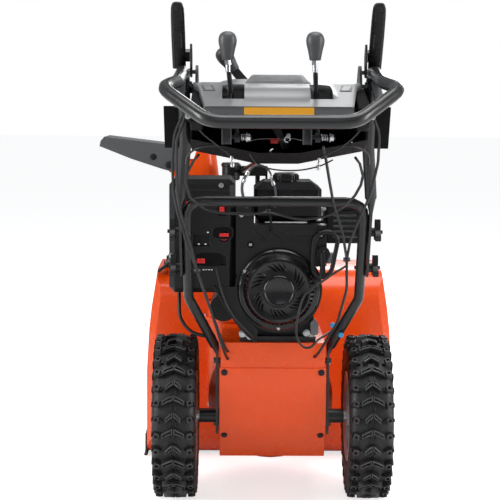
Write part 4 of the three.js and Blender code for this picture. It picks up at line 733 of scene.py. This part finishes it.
lathe(dish, [(0.0690, -0.0315), (0.0705, -0.0290), (0.0790, -0.0150), (0.0770, -0.0130),
             (0.0680, -0.0280)], 30, radians(28), radians(124))
mount("starter_cover", dish, gloss_moulding, smooth=40, at=Matrix.Translation(CRANK),
      node="recoil_cover")
ALONG = (0.0, 1.0, 0.0)
rib = bmesh.new()
outer_rib = [(0.0690, -0.0312), (0.0790, -0.0150), (0.0775, -0.0125), (0.0680, -0.0275)]
skin(rib, [[rib.verts.new((r * cos(a), y, r * sin(a))) for r, y in outer_rib]
           for a in (0.0, 0.055)])
mount_round("starter_cover_ribs", rib, gloss_moulding, "chassis", 48, ALONG, CRANK)
LOUVRE_R, LOUVRE_FACE = (0.0385, 0.0640), -0.0325
louvre = bmesh.new()
for n in range(4):
    rows = []
    for i in range(9):
        share = i / 8
        r = LOUVRE_R[0] + (LOUVRE_R[1] - LOUVRE_R[0]) * share
        a = 0.185 * n + 0.40 * share ** 1.3
        bulge = sin(pi * share)
        rise = 0.0010 + 0.0046 * bulge
        wide = (0.0014 + 0.0030 * bulge) / r
        rows.append([louvre.verts.new((r * cos(a + d), LOUVRE_FACE - h, r * sin(a + d)))
                     for d, h in ((0, 0), (wide, rise * 0.8), (wide * 1.25, rise),
                                  (wide * 1.4, 0))])
    skin(louvre, rows)
mount_round("starter_louvres", louvre, gloss_moulding, "chassis", 6, ALONG, CRANK, 30)
fan = bmesh.new()
lathe(fan, [(0.0, -0.0120), (0.074, -0.0120), (0.074, -0.0090), (0.0, -0.0090)], 48)
mount("cooling_fan", fan, fan_red, "crankshaft", at=Matrix.Translation(CRANK))
fasteners("starter_cover_bolts",
          on_circle((CRANK_X, -159, CRANK_Z), 84.5, [radians(d) for d in (30, 151, 270)], REAR),
          radius=4.2, height=4.5, washer=5.6)


def rod(work, points, radius, sides=12):
    """A round bar along points in metres, with one radius or a list of one for each point."""
    points = [Vector(p) for p in points]
    way = (points[1] - points[0]).normalized()
    across = way.orthogonal().normalized()
    rings = []
    for i, here in enumerate(points):
        after = (points[min(i + 1, len(points) - 1)] - points[max(i - 1, 0)]).normalized()
        across = way.rotation_difference(after) @ across
        way = after
        up = way.cross(across)
        r = radius[i] if isinstance(radius, list) else radius
        rings.append([work.verts.new(here + across * (r * cos(2 * pi * j / sides))
                                     + up * (r * sin(2 * pi * j / sides)))
                      for j in range(sides)])
    skin(work, rings)


grip = bmesh.new()
half_turn = [pi * n / 10 for n in range(11)]
loop = [(26 * cos(a), 26 + 24 * sin(a)) for a in half_turn]
loop += [(-22 * cos(a), -26 - 24 * sin(a)) for a in half_turn]
loop.append(loop[0])
rod(grip, [place(110 + 0.12 * v + u, -169, 587 + v) for u, v in loop], 0.0052)
rod(grip, [place(107, -169, 536), place(107, -169, 562), place(107, -168, 592)],
    [0.0075, 0.0062, 0.0070])
rod(grip, [place(107, -168, 588.5), place(107, -146, 588.5)], 0.0046)
mount("starter_grip", grip, black_moulding, "starter_handle", 45, node="recoil_handle")

# -------------------- fuel cap
# A ribbed cap moulded in black plastic, which turns on the tank's neck. Its plug reaches down
# inside the neck.
CAP = place(28, -58, 745.3)
tank_cap = bmesh.new()
lathe(tank_cap, [(0, -0.0010), (0.0272, -0.0010), (0.0276, 0.0), (0.0276, 0.0118),
                 (0.0262, 0.0148), (0.0225, 0.0162), (0.0205, 0.0150), (0, 0.0150)], 48)
lathe(tank_cap, [(0, -0.0120), (0.0185, -0.0120), (0.0185, -0.0010), (0, -0.0010)], 32)
mount("tank_cap_body", tank_cap, black_moulding, "tank_cap",
      at=Matrix.Translation(CAP) @ UPRIGHT, node="fuel_cap")
cap_rib = bmesh.new()
bmesh.ops.create_cube(cap_rib, size=1, matrix=Matrix.Translation((0.0282, 0, 0.0055))
                      @ Matrix.Diagonal((0.003, 0.0032, 0.0105, 1)))
mount_round("tank_cap_ribs", cap_rib, black_moulding, "tank_cap", 28, (0.0, 0.0, 1.0), CAP)

# -------------------- heater box and engine controls
# A black moulded box round the carburettor, with a red run switch, a red choke knob and a
# red throttle slide in their recesses.
red_moulding = finish("red_moulding", (0.62, 0.012, 0.012), 0.26, coat=0.2,
                      mottle=(0.05, 5), grain=(0.05, 500, 0.0004))
box_piece = shell_of("heater_box", "carburettor_box", black_moulding, 0.0030, 25,
                     second=matt_moulding)
second_coat(box_piece, lambda face: face.normal.z > 0.25)
fit(box_piece, "chassis", "heater_box")


def oblong(x0, x1, z0, z1):
    """A square cornered outline."""
    return [(x0, z0), (x1, z0), (x1, z1), (x0, z1)]


front = bmesh.new()
(x0, _, z0), (x1, y1, z1) = ([v * 1000 for v in corner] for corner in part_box("heater_box"))
y1 -= AXLE_Y * 1000
outlined(front, oblong(x0 + 4, x1 - 4, z0 + 4, z1 - 4), y1 - 7, y1 - 4)
for n in range(5):  # raised ribs across the plate
    z = z0 + 60 + 36 * n
    outlined(front, oblong(x0 + 24, x1 - 24, z, z + 9), y1 - 5, y1 - 2)
mount("carburettor_box_front", front, black_moulding, smooth=30, corner=(0.0010,))
dress("ignition_key", "run_switch_key", red_moulding, 0.0010)
dress("choke_knob", "choke_handle", red_moulding, 0.0012, 30)
dress("throttle_lever", "throttle_slide", red_moulding, 0.0010)
fasteners("heater_box_screws", [((-117, -148, 737), REAR), ((-227, -148, 581), REAR)],
          radius=4.6, height=3, sides=20, washer=5.4)


def oval(x0, x1, z0, z1, steps=24):
    """A rounded outline in (x, z) millimetres."""
    return [((x0 + x1) / 2 + (x1 - x0) / 2 * copysign(abs(cos(a)) ** 0.6, cos(a)),
             (z0 + z1) / 2 + (z1 - z0) / 2 * copysign(abs(sin(a)) ** 0.6, sin(a)))
            for a in [2 * pi * i / steps for i in range(steps)]]


bezels, dials, dashes = bmesh.new(), bmesh.new(), bmesh.new()
for x0, x1, z0, z1 in ((-138, -89, 617, 648), (-231, -206, 540, 557)):
    outlined(bezels, oval(x0, x1, z0, z1), -150.5, -146)
    outlined(dials, oval(x0 + 3, x1 - 3, z0 + 3, z1 - 3), -151.2, -150)
outlined(bezels, oblong(-222, -98, 723, 727), -149.2, -146)
for x in (-157, -151, -145, -139):
    outlined(dashes, oblong(x, x + 3.5, 549, 551), -148.6, -147)
for x, z in ((-166, 607), (-151, 607), (-146, 633)):
    outlined(dashes, oval(x - 2.2, x + 2.2, z - 1.4, z + 1.4, 10), -148.8, -147)
slide_plate, side_clip = bmesh.new(), bmesh.new()
outlined(slide_plate, oval(-174, -112, 558, 588, 32), -148.5, -147)
outlined(side_clip, [(-194, 702), (-183, 694), (-194, 686)], -149.4, -147)
mount("slide_recess", slide_plate, matt_moulding)
mount("box_side_clip", side_clip, red_moulding, corner=(0.0004,))
mount("box_bezels", bezels, black_moulding, corner=(0.0008,))
mount("box_dials", dials, matt_moulding)
white_print = finish("white_print", (0.70, 0.70, 0.70), 0.5, mottle=(0.05, 5))
mount("box_dashes", dashes, white_print)

# -------------------- lower frame, handle and hand knobs
# Bent steel tube in dark satin paint. The handle's flattened ends fold on the lower pair of
# three-lobed knobs and are held up by the upper pair.
dress("lower_frame", "engine_guard_frame", dark_enamel, 0.0008, 44)
dress("upper_handle", "folding_handle", dark_enamel, 0.0008, 44)
CORE_R, EASE_R, LOBE_GROWTH = 0.011, 0.006, 0.22  # the lobes flare out beyond a knob's core
for word in ("left", "right"):
    for level, axis_z in (("lower", 0.563), ("upper", 0.645)):
        node = f"{word}_{level}_knob"
        knob = shell_of(node, f"{word}_{level}_lobe_knob", black_moulding, 0.0022, 40)
        low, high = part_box(node)
        axis_y = (low[1] + high[1]) / 2
        for vert in knob.data.vertices:
            off_y, off_z = vert.co.y - axis_y, vert.co.z - axis_z
            beyond = max(0, hypot(off_y, off_z) - CORE_R)
            grown = 1 + LOBE_GROWTH * min(1, beyond / EASE_R)
            vert.co.y, vert.co.z = axis_y + off_y * grown, axis_z + off_z * grown
        fit(knob, body_of_node(node), node)

# -------------------- console
# A silver grey top on a black moulded tub. The rear lip and the hood are darker, and a plain
# amber strip is stuck on the lip.
silver_moulding = finish("silver_moulding", (0.27, 0.274, 0.279), 0.34,
                         metallic=0.40, mottle=(0.03, 4), grain=(0.03, 1400, 0.0001), spread=0.02)
tub_moulding = finish("tub_moulding", (0.0036, 0.0036, 0.0040), 0.66,
                      specular=0.15, mottle=(0.15, 10), grain=(0.3, 800, 0.0004))
dress("console_shell", "console_tub", tub_moulding, 0.0030, 25)
CONSOLE_X = -3  # the moulding sits this far left of the middle
SLOT_X, SLOT_Y = ((-106, -64), (60, 102)), (-640, -560)


def eased_step(value):
    value = min(1.0, max(0.0, value))
    return value * value * (3 - 2 * value)


def console_z(x, y):
    """Height of the console's top: a slope up to the front with a raised middle."""
    middle = (eased_step((y + 641) / 38) * eased_step((x + 119 - (y + 640) * 0.05) / 13)
              * eased_step((113 - (y + 640) * 0.06 - x) / 13))
    raised = 10.5 - 4.5 * eased_step((y + 600) / 100)
    front_drop = -9 * eased_step((y + 472) / 16)
    return 914.5 + (min(y, -502) + 700) * 0.230 + raised * middle + front_drop


def console_half(y):
    """Half of the console's width: it spreads into two ears at the front."""
    stops = ((-700, 136), (-640, 142), (-575, 149), (-535, 154), (-503, 165), (-456, 165))
    for (y0, w0), (y1, w1) in zip(stops, stops[1:]):
        if y <= y1:
            return w0 + (w1 - w0) * (y - y0) / (y1 - y0)


inner_lines = sorted(
    {-120, -116, -112, -108, -60, -40, -20, 0, 20, 40, 56, 98.5, 106, 110, 114, 118}
    | {x for slot in SLOT_X for x in (slot[0], sum(slot) / 2, slot[1])})
depth_lines = [-700, -698.5, -694, -688, -678, -666, -656, -650, -645, -640, -634, -628, -620,
               -605, -590, -575, -560, -548, -535, -520, -508, -497, -485, -474, -469, -464, -460,
               -456]
TUB_RIM, EAR_RIM, EAR_X = 0.8985, 0.936, 151  # the side walls end higher at the ears
SLOT_LIP, WALL_LEAN, REAR_LIP_Y = 0.012, 0.004, -698.6
top_work = bmesh.new()
grid = []
for y in depth_lines:
    w = console_half(y)
    spread_x = [-w, -w + 1, -w + 3.5] + inner_lines + [w - 3.5, w - 1, w]
    drop = [2.6, 0.8, 0.1] + [0] * len(inner_lines) + [0.1, 0.8, 2.6]
    grid.append([top_work.verts.new(place(x + CONSOLE_X, y, console_z(x, y) - d))
                 for x, d in zip(spread_x, drop)])
for y0, near, far in zip(depth_lines, grid, grid[1:]):
    for i in range(len(near) - 1):
        x = (near[i].co.x + near[i + 1].co.x) * 500 - CONSOLE_X
        if SLOT_Y[0] <= y0 < SLOT_Y[1] and any(a < x < b for a, b in SLOT_X):
            continue
        top_work.faces.new([near[i], near[i + 1], far[i + 1], far[i]])
rim_edges = [e for e in top_work.edges if e.is_boundary]
walls = bmesh.ops.extrude_edge_only(top_work, edges=rim_edges)["geom"]
for vert in [v for v in walls if isinstance(v, bmesh.types.BMVert)]:
    x, y = vert.co.x * 1000 - CONSOLE_X, (vert.co.y - AXLE_Y) * 1000
    if SLOT_Y[0] - 1 < y < SLOT_Y[1] + 1 and abs(x) < 125:
        vert.co.z -= SLOT_LIP
        continue
    vert.co.z = TUB_RIM if abs(x) < EAR_X else EAR_RIM
    if y > -690:
        vert.co.x -= copysign(WALL_LEAN, x)
top = new_piece("console_top", top_work, silver_moulding, 32)
top.data.materials.append(grey_moulding)
second_coat(top, lambda face: (face.center.y - AXLE_Y) * 1000 < REAR_LIP_Y)
wall = top.modifiers.new("wall", "SOLIDIFY")
wall.thickness, wall.offset = 0.003, -1
settle(top)
fit(top, "handle", "console_panel")


def on_console(work, outline, lift, thick):
    """A thin plate that follows the console's top, its outline in (x, y) millimetres."""
    skin(work, [[work.verts.new(place(x + CONSOLE_X, y, console_z(x, y) + rise))
                 for x, y in outline] for rise in (lift - thick, lift)])


badge, badge_face = bmesh.new(), bmesh.new()
for side in (-1, 1):
    for work, inset, lift in ((badge, 0, 0.8), (badge_face, 4.5, 1.1)):
        corners = [(118 + inset, -576 + inset), (141 - inset, -576 + inset),
                   (147 - inset, -532 - inset), (124 + inset, -532 - inset)]
        on_console(work, [(side * x - 1, y) for x, y in corners], lift, 1.6)
    for n in range(5):  # tick marks beside each slot
        x = side * 46 - 9 + n * 4.2
        on_console(badge, [(x, -572), (x + 1.5, -572), (x + 2.5, -540), (x + 1, -540)], 0.3, 1.0)
mount("badge_frames", badge, grey_moulding, "handle")
mount("badge_faces", badge_face, silver_moulding, "handle")
hood = bmesh.new()
corners = [hood.verts.new(place(*spot)) for spot in (
    (-70, -550, 950), (66, -550, 950), (58, -462, 958), (-62, -462, 958),
    (-66, -548, 959.0), (62, -548, 959.0), (49, -488, 974.5), (-53, -488, 974.5),
    (48, -468, 975), (-52, -468, 975))]
for face in ((0, 1, 2, 3), (4, 5, 6, 7), (7, 6, 8, 9), (0, 1, 5, 4), (2, 3, 9, 8),
             (1, 2, 8, 6, 5), (3, 0, 4, 7, 9)):
    hood.faces.new([corners[i] for i in face])
mount("console_hood", hood, grey_moulding, "handle", 30, (0.003, 3, 30))
slot_floor = bmesh.new()
for x0, x1 in ((-106, -96), (-85, -64), (60, 65), (77, 102)):
    on_console(slot_floor, oblong(x0, x1, *SLOT_Y), -11, 2)
mount("console_slot_brushes", slot_floor, matt_moulding, "handle", 30)


def row_array_tree():
    """Copies of one piece in a straight row."""
    tree, given, out = geometry_tree("row_array", {
        "Count": 10, "Step": (0.004, 0.0, 0.0), "Finish": None})
    line = add_node(tree, "GeometryNodeMeshLine", {
        "Count": given["Count"], "Offset": given["Step"]})
    return scattered(tree, given, out, line.outputs[0], given["Geometry"])


def plate(work, outline, x0, x1):
    """A flat plate square to X, its outline in (y, z) millimetres."""
    skin(work, [[work.verts.new(place(x, y, z)) for y, z in outline] for x in (x0, x1)])


fin = bmesh.new()
plate(fin, [(-543, 958), (-543, 961.6), (-491, 975.4), (-491, 972)], -49.5, -47.9)
fins = new_piece("hood_fins", fin, grey_moulding, 30)
run_tree(fins, row_array_tree(), {
    "Count": 24, "Step": (0.004, 0.0, 0.0), "Finish": grey_moulding})
fit(fins, "handle")

PIVOT_Y, PIVOT_Z = -600, 856  # the pin that both sticks swing on
channel, pivot_steel, pivot_nuts = bmesh.new(), bmesh.new(), bmesh.new()
for left, right, pin in ((-110, -91, -58), (44, 61, 100)):
    block(channel, left, right, -590, -587, 842, 938)
    block(channel, left, left + 2.5, -612, -590, 842, 938)
    block(channel, right - 2.5, right, -612, -590, 842, 938)
    pin_start, pin_end = right / 1000 - 0.004, pin / 1000
    lathe(pivot_steel, [(0, pin_start), (0.0038, pin_start), (0.0038, pin_end + 0.006),
                        (0, pin_end + 0.006)], 16)
    lathe(pivot_nuts, [(0, pin_end - 0.005), (0.0095, pin_end - 0.005),
                       (0.0095, pin_end - 0.0035), (0.0072, pin_end - 0.0035),
                       (0.0072, pin_end + 0.0025), (0, pin_end + 0.0025)], 6)
on_pivot = (Matrix.Translation(place(0, PIVOT_Y, PIVOT_Z))
            @ Matrix.Rotation(-pi / 2, 4, "Z"))
mount("lever_brackets", channel, grey_moulding, "handle", 30, slot="dark_paint")
mount("lever_pins", pivot_steel, black_oxide, "handle", 30, at=on_pivot)
mount("lever_nuts", pivot_nuts, zinc_plate, "handle", 30, at=on_pivot)
amber = finish("amber_film", (0.80, 0.36, 0.02), 0.35, coat=0.3,
               mottle=(0.04, 5), grain=(0.03, 500, 0.0004))
strip = bmesh.new()
block(strip, -67.6, 60.4, -700.7, -699.9, 899.3, 913.1)
mount("amber_strip", strip, amber, "handle")

# -------------------- levers
# Ribbed black paddles for the two drives, small grey triggers below them, and three pear
# shaped knobs on bent stems for speed, deflector and chute.
PADDLE_TILT = radians(50)
CLUTCH_Y, CLUTCH_Z = -470, 980  # the pin that each clutch lever swings on


def on_lever(along, off):
    """A place beside the clutch lever's pivot, along the paddle and square to it, in mm."""
    return (CLUTCH_Y - along * cos(PADDLE_TILT) + off * sin(PADDLE_TILT),
            CLUTCH_Z + along * sin(PADDLE_TILT) + off * cos(PADDLE_TILT))


GRIP_X, GRIP_OFF = 193.8, 24.4  # a grip's middle, across the machine and off the pivot


def drive_paddle(side, word):
    """A flat grip with a round tip and a raised grid, moulded on a steel arm."""
    grip = bmesh.new()
    shape = [(-7, 13.2, 6.4), (20, 13.4, 7.0), (70, 13.6, 7.2), (120, 13.2, 6.9), (138, 12.4, 6.4),
             (145, 10.4, 5.4), (149, 7.0, 3.8), (150.8, 2.4, 1.2)]  # along, half width and depth
    rings = []
    steps, sides, power = 106, 72, 0.42
    rib_step, rib_wide, row_step, row_wide, grid_rise, grid_end = 14.5, 1.5, 5.2, 0.9, 0.85, 144
    for i in range(steps + 1):
        s = shape[0][0] + (shape[-1][0] - shape[0][0]) * i / steps
        k = max(n for n in range(len(shape) - 1) if shape[n][0] <= s + 1e-6)
        t = (s - shape[k][0]) / (shape[k + 1][0] - shape[k][0])
        wide, deep = (near + (far - near) * t for near, far in zip(shape[k][1:], shape[k + 1][1:]))
        ring = []
        for j in range(sides):
            a = 2 * pi * (j + 0.5) / sides
            c, d = cos(a), sin(a)
            u = copysign(abs(c) ** power, c) * wide
            v = copysign(abs(d) ** power, d) * deep
            on_grid = s % rib_step < rib_wide or (u + 60) % row_step < row_wide
            if on_grid and s < grid_end and abs(u) < wide * 0.93 and abs(v) > 3:
                v += copysign(grid_rise, v)
            y, z = on_lever(s, GRIP_OFF + v)
            ring.append(grip.verts.new(place(side * (GRIP_X + u) - 2.5, y, z)))
        rings.append(ring)
    skin(grip, rings)
    mount(f"{word}_drive_paddle", grip, black_moulding, f"{word}_clutch",
          node=f"{word}_clutch_lever")
    arm = bmesh.new()
    outline = [on_lever(*p) for p in ((0, -12), (-10, -5), (-10, 5), (-4, 12), (14, 31), (44, 31),
                                      (50, 26), (40, 14), (12, -4))]
    plate(arm, outline, side * 169.6, side * 174.1)
    plate(arm, [on_lever(*p) for p in ((10, 19), (10, 30), (34, 30), (34, 19))],
          side * 173, side * 190)
    mount(f"{word}_drive_arm", arm, dark_enamel, f"{word}_clutch", 30,
          (0.0008, 2, 30, False))


for side, word in SIDES:
    drive_paddle(side, word)
    pod = bmesh.new()
    plate(pod, [(-640, 884), (-636, 912), (-600, 924), (-520, 942), (-480, 950), (-445, 946),
                (-436, 890), (-480, 868), (-600, 868)], side * 146, side * 168.4)
    plate(pod, [(-520, 900), (-512, 948), (-486, 958), (-452, 958), (-438, 940), (-446, 896)],
          side * 175.4, side * 181)
    mount(f"{word}_lever_pod", pod, tub_moulding, "handle", 30,
          (0.0025, 3, 30, False))
    fasteners(f"{word}_pod_bolts", [((side * 181, CLUTCH_Y, 946), (side, 0, 0)),
                                    ((side * 172, -640.5, 896), REAR)],
              body="handle", radius=4.5, washer=6)
    fasteners(f"{word}_lever_pivot", [((side * 174.4, CLUTCH_Y, CLUTCH_Z), (side, 0, 0))],
              body="handle", radius=6.5, height=4.5, washer=8)
    dress(f"{word}_steering_trigger", f"{word}_turning_trigger", grey_moulding,
          0.0030, 40)


def eased(points):
    """A smooth line through points, as a bent rod or a cable lies."""
    steps = 8
    points = [Vector(p) for p in points]
    ends = [points[0] * 2 - points[1]] + points + [points[-1] * 2 - points[-2]]
    line = []
    for a, b, c, d in zip(ends, ends[1:], ends[2:], ends[3:]):
        for i in range(steps):
            t = i / steps
            line.append(0.5 * (2 * b + (c - a) * t + (2 * a - 5 * b + 4 * c - d) * t * t
                               + (3 * b - a - 3 * c + d) * t ** 3))
    return line + [points[-1]]


KNOB = [(0.0, 0.0), (0.0098, 0.0), (0.0108, 0.0015), (0.0122, 0.010), (0.0145, 0.021),
        (0.0168, 0.030), (0.0175, 0.0365), (0.0168, 0.0430), (0.0142, 0.0485), (0.0100, 0.0520),
        (0.0050, 0.0537), (0.0, 0.0540)]


def lever_knob(name, body, at):
    """A pear shaped knob on the end of a lever."""
    head = bmesh.new()
    lathe(head, KNOB, 40)
    mount(name, head, grey_moulding, body, 40, at=at @ UPRIGHT)


for node, name, body, x, lean in (
        ("deflector_lever", "deflector_stick", "deflector_control", -80, -19),
        ("speed_lever", "speed_stick", "speed_control", 72, -6)):
    stem = bmesh.new()
    rod(stem, eased([place(x, PIVOT_Y, 858), place(x + lean * 0.35, PIVOT_Y, 905),
                     place(x + lean * 0.7, -600.5, 950), place(x + lean, -602, 1003)]), 0.0046, 14)
    rod(stem, [place(x - 5, PIVOT_Y, PIVOT_Z), place(x + 5, PIVOT_Y, PIVOT_Z)], 0.010, 24)
    mount(name, stem, black_oxide, body, 40, node=node, slot="grey_plastic")
    collar = bmesh.new()
    rod(collar, [place(x + lean * 0.97, -602, 992), place(x + lean, -602, 1001)], 0.0066, 6)
    rod(collar, [place(x + lean * 0.93, -602, 978), place(x + lean * 0.97, -602, 993)], 0.0051, 16)
    mount(name + "_collar", collar, zinc_plate, body)
    lever_knob(name + "_knob", body, Matrix.Translation(place(x + lean, -602, 1000.5)))
    spring = bmesh.new()
    coil = [(13.5 * i / 64, 2 * pi * i / 16) for i in range(65)]  # along and round, four turns
    rod(spring, [place(x + 6.5 + along, PIVOT_Y + 6.2 * cos(a), PIVOT_Z + 6.2 * sin(a))
                 for along, a in coil], 0.0007, 8)
    mount(name + "_spring", spring, zinc_plate, "handle", 40)
crank = bmesh.new()
outlined(crank, [(9, 827), (23, 830), (-5, 896), (-56, 962), (-84, 994), (-98, 984), (-74, 954),
                 (-21, 888)], -441, -433)
crank_pivot, rod_end = place(15, -437, 836), place(-70, 144.4, 754)
rod(crank, [crank_pivot - (rod_end - crank_pivot).normalized() * 0.014, rod_end], 0.006, 16)
mount("chute_crank", crank, dark_enamel, "chute_control", corner=(0.0012, 2, 50, False),
      node="chute_lever", slot="grey_plastic")
lever_knob("chute_crank_knob", "chute_control", Matrix.Translation(place(-86, -437, 983))
           @ Matrix.Rotation(radians(-34), 4, "Y"))

# -------------------- cables and wiring
# Black sheathed control cables run from the levers down both sides of the handle to the box,
# and a loom crosses below the frame's top bar. They bend where the handle folds.
sheath = finish("sheath", (0.0125, 0.0125, 0.0135), 0.38, mottle=(0.10, 30),
                grain=(0.08, 900, 0.0001))
FOLD_LOW, FOLD_HIGH = place(0, -180, 505), place(0, -300, 650)
for node, name in (("left_cables", "left_control_cables"),
                   ("right_cables", "right_control_cables"), ("wiring", "wiring_loom")):
    run = shell_of(node, name, sheath, corner=0)
    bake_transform(run, "chassis", "handle", start=FOLD_LOW, end=FOLD_HIGH)
    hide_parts(node)

grey_sheath = finish("grey_sheath", (0.075, 0.076, 0.080), 0.40, mottle=(0.10, 30),
                     grain=(0.08, 900, 0.0001))


def cable(name, spots, thick, body="chassis", material=sheath):
    """A sheathed cable through places in millimetres, fixed at both ends."""
    work = bmesh.new()
    rod(work, eased([place(*spot) for spot in spots]), thick / 2000, 10)
    mount(name, work, material, body, 60)


def barrel(name, spots, thick, body="chassis"):
    """A crimped steel ferrule or an adjuster, waisted between its shoulders."""
    start, end = (place(*spot) for spot in spots)
    shares = (0, 0.06, 0.30, 0.34, 0.62, 0.66, 0.94, 1)
    radii = (0.30, 0.42, 0.42, 0.28, 0.28, 0.50, 0.50, 0.34)
    work = bmesh.new()
    rod(work, [start.lerp(end, share) for share in shares], [thick * r / 1000 for r in radii])
    mount(name, work, zinc_plate, body, 40)


cable("left_clutch_cable", [(-176, -640, 893), (-160, -600, 877), (-141, -575, 857),
                            (-122, -562, 842), (-103, -560, 828), (-92, -560, 818)],
      3.4, "handle")
cable("right_clutch_cable", [(176, -640, 893), (159, -600, 876), (138, -575, 852),
                             (115, -562, 834), (92, -560, 823), (78, -560, 815)],
      3.4, "handle")
barrel("left_clutch_ferrule", [(-91, -560, 819), (-89, -560, 797)], 8.5, "handle")
barrel("right_clutch_ferrule", [(77, -560, 816), (75, -560, 792)], 8.5, "handle")
cable("bowed_cable", [(104, -560, 812), (78, -562, 800), (38, -566, 792), (-8, -566, 793),
                      (-40, -562, 803), (-56, -552, 822)], 3.0, "handle")
cable("left_return_cable", [(-182, -470, 800), (-176, -520, 818), (-158, -548, 832),
                            (-132, -552, 838), (-108, -546, 836)], 4.0, "handle")
cable("right_return_cable", [(182, -470, 800), (174, -520, 822), (150, -548, 836),
                             (124, -552, 838), (104, -546, 834)], 4.0, "handle")
cable("switch_wire", [(-62, -556, 846), (-40, -558, 851), (-16, -560, 852), (6, -560, 850),
                      (22, -560, 853), (48, -556, 848)], 1.8, "handle", grey_sheath)
plug_work = bmesh.new()
block(plug_work, -16, -2, -568, -559, 843, 850)
block(plug_work, -18, 0, -565, -561, 849, 853)
mount("wire_plug", plug_work, fan_red, "handle", 30)
hook = bmesh.new()
rod(hook, [place(15.5 + 5.2 * cos(a), -566, 851 + 5.2 * sin(a))
           for a in [radians(d) for d in range(-30, 291, 20)]], 0.0012, 8)
mount("wire_hook", hook, zinc_plate, "handle", 50)
fasteners("crank_bolt", [((18, -560, 858), REAR)], body="handle", radius=3.4, height=5)
# Control hoses over the engine, from the carburettor and from the chute's drive.
cable("choke_hose", [(-60, -153, 690), (-66, -172, 706), (-71, -190, 730), (-68, -196, 752),
                     (-58, -196, 768)], 6.5, material=grey_sheath)
cable("throttle_hose", [(-56, -196, 770), (-46, -197, 781), (-30, -198, 784), (-13, -199, 773),
                        (-5, -199, 752), (1, -196, 731), (3, -180, 708), (2, -153, 690)],
      4.6, material=grey_sheath)
barrel("choke_ferrule", [(-69, -196, 746), (-57, -196, 771)], 10)
barrel("throttle_ferrule", [(-10, -199, 764), (-2, -199, 740)], 9)
cable("right_engine_cable", [(153, -262, 573), (128, -232, 553), (103, -212, 532),
                             (80, -206, 515), (62, -205, 492), (50, -205, 443), (51, -205, 408),
                             (64, -205, 388), (81, -203, 387), (98, -190, 401), (120, -150, 408),
                             (137, -120, 412)], 5.0)
cable("left_engine_hose", [(-213, -60, 499), (-212, -80, 465), (-208, -92, 432),
                           (-186, -97, 405), (-158, -95, 394), (-132, -80, 391)], 8.0)
cable("left_shroud_cable", [(-128, -190, 560), (-118, -192, 520), (-104, -192, 480),
                            (-84, -190, 446), (-60, -186, 420), (-44, -168, 402)], 4.0)
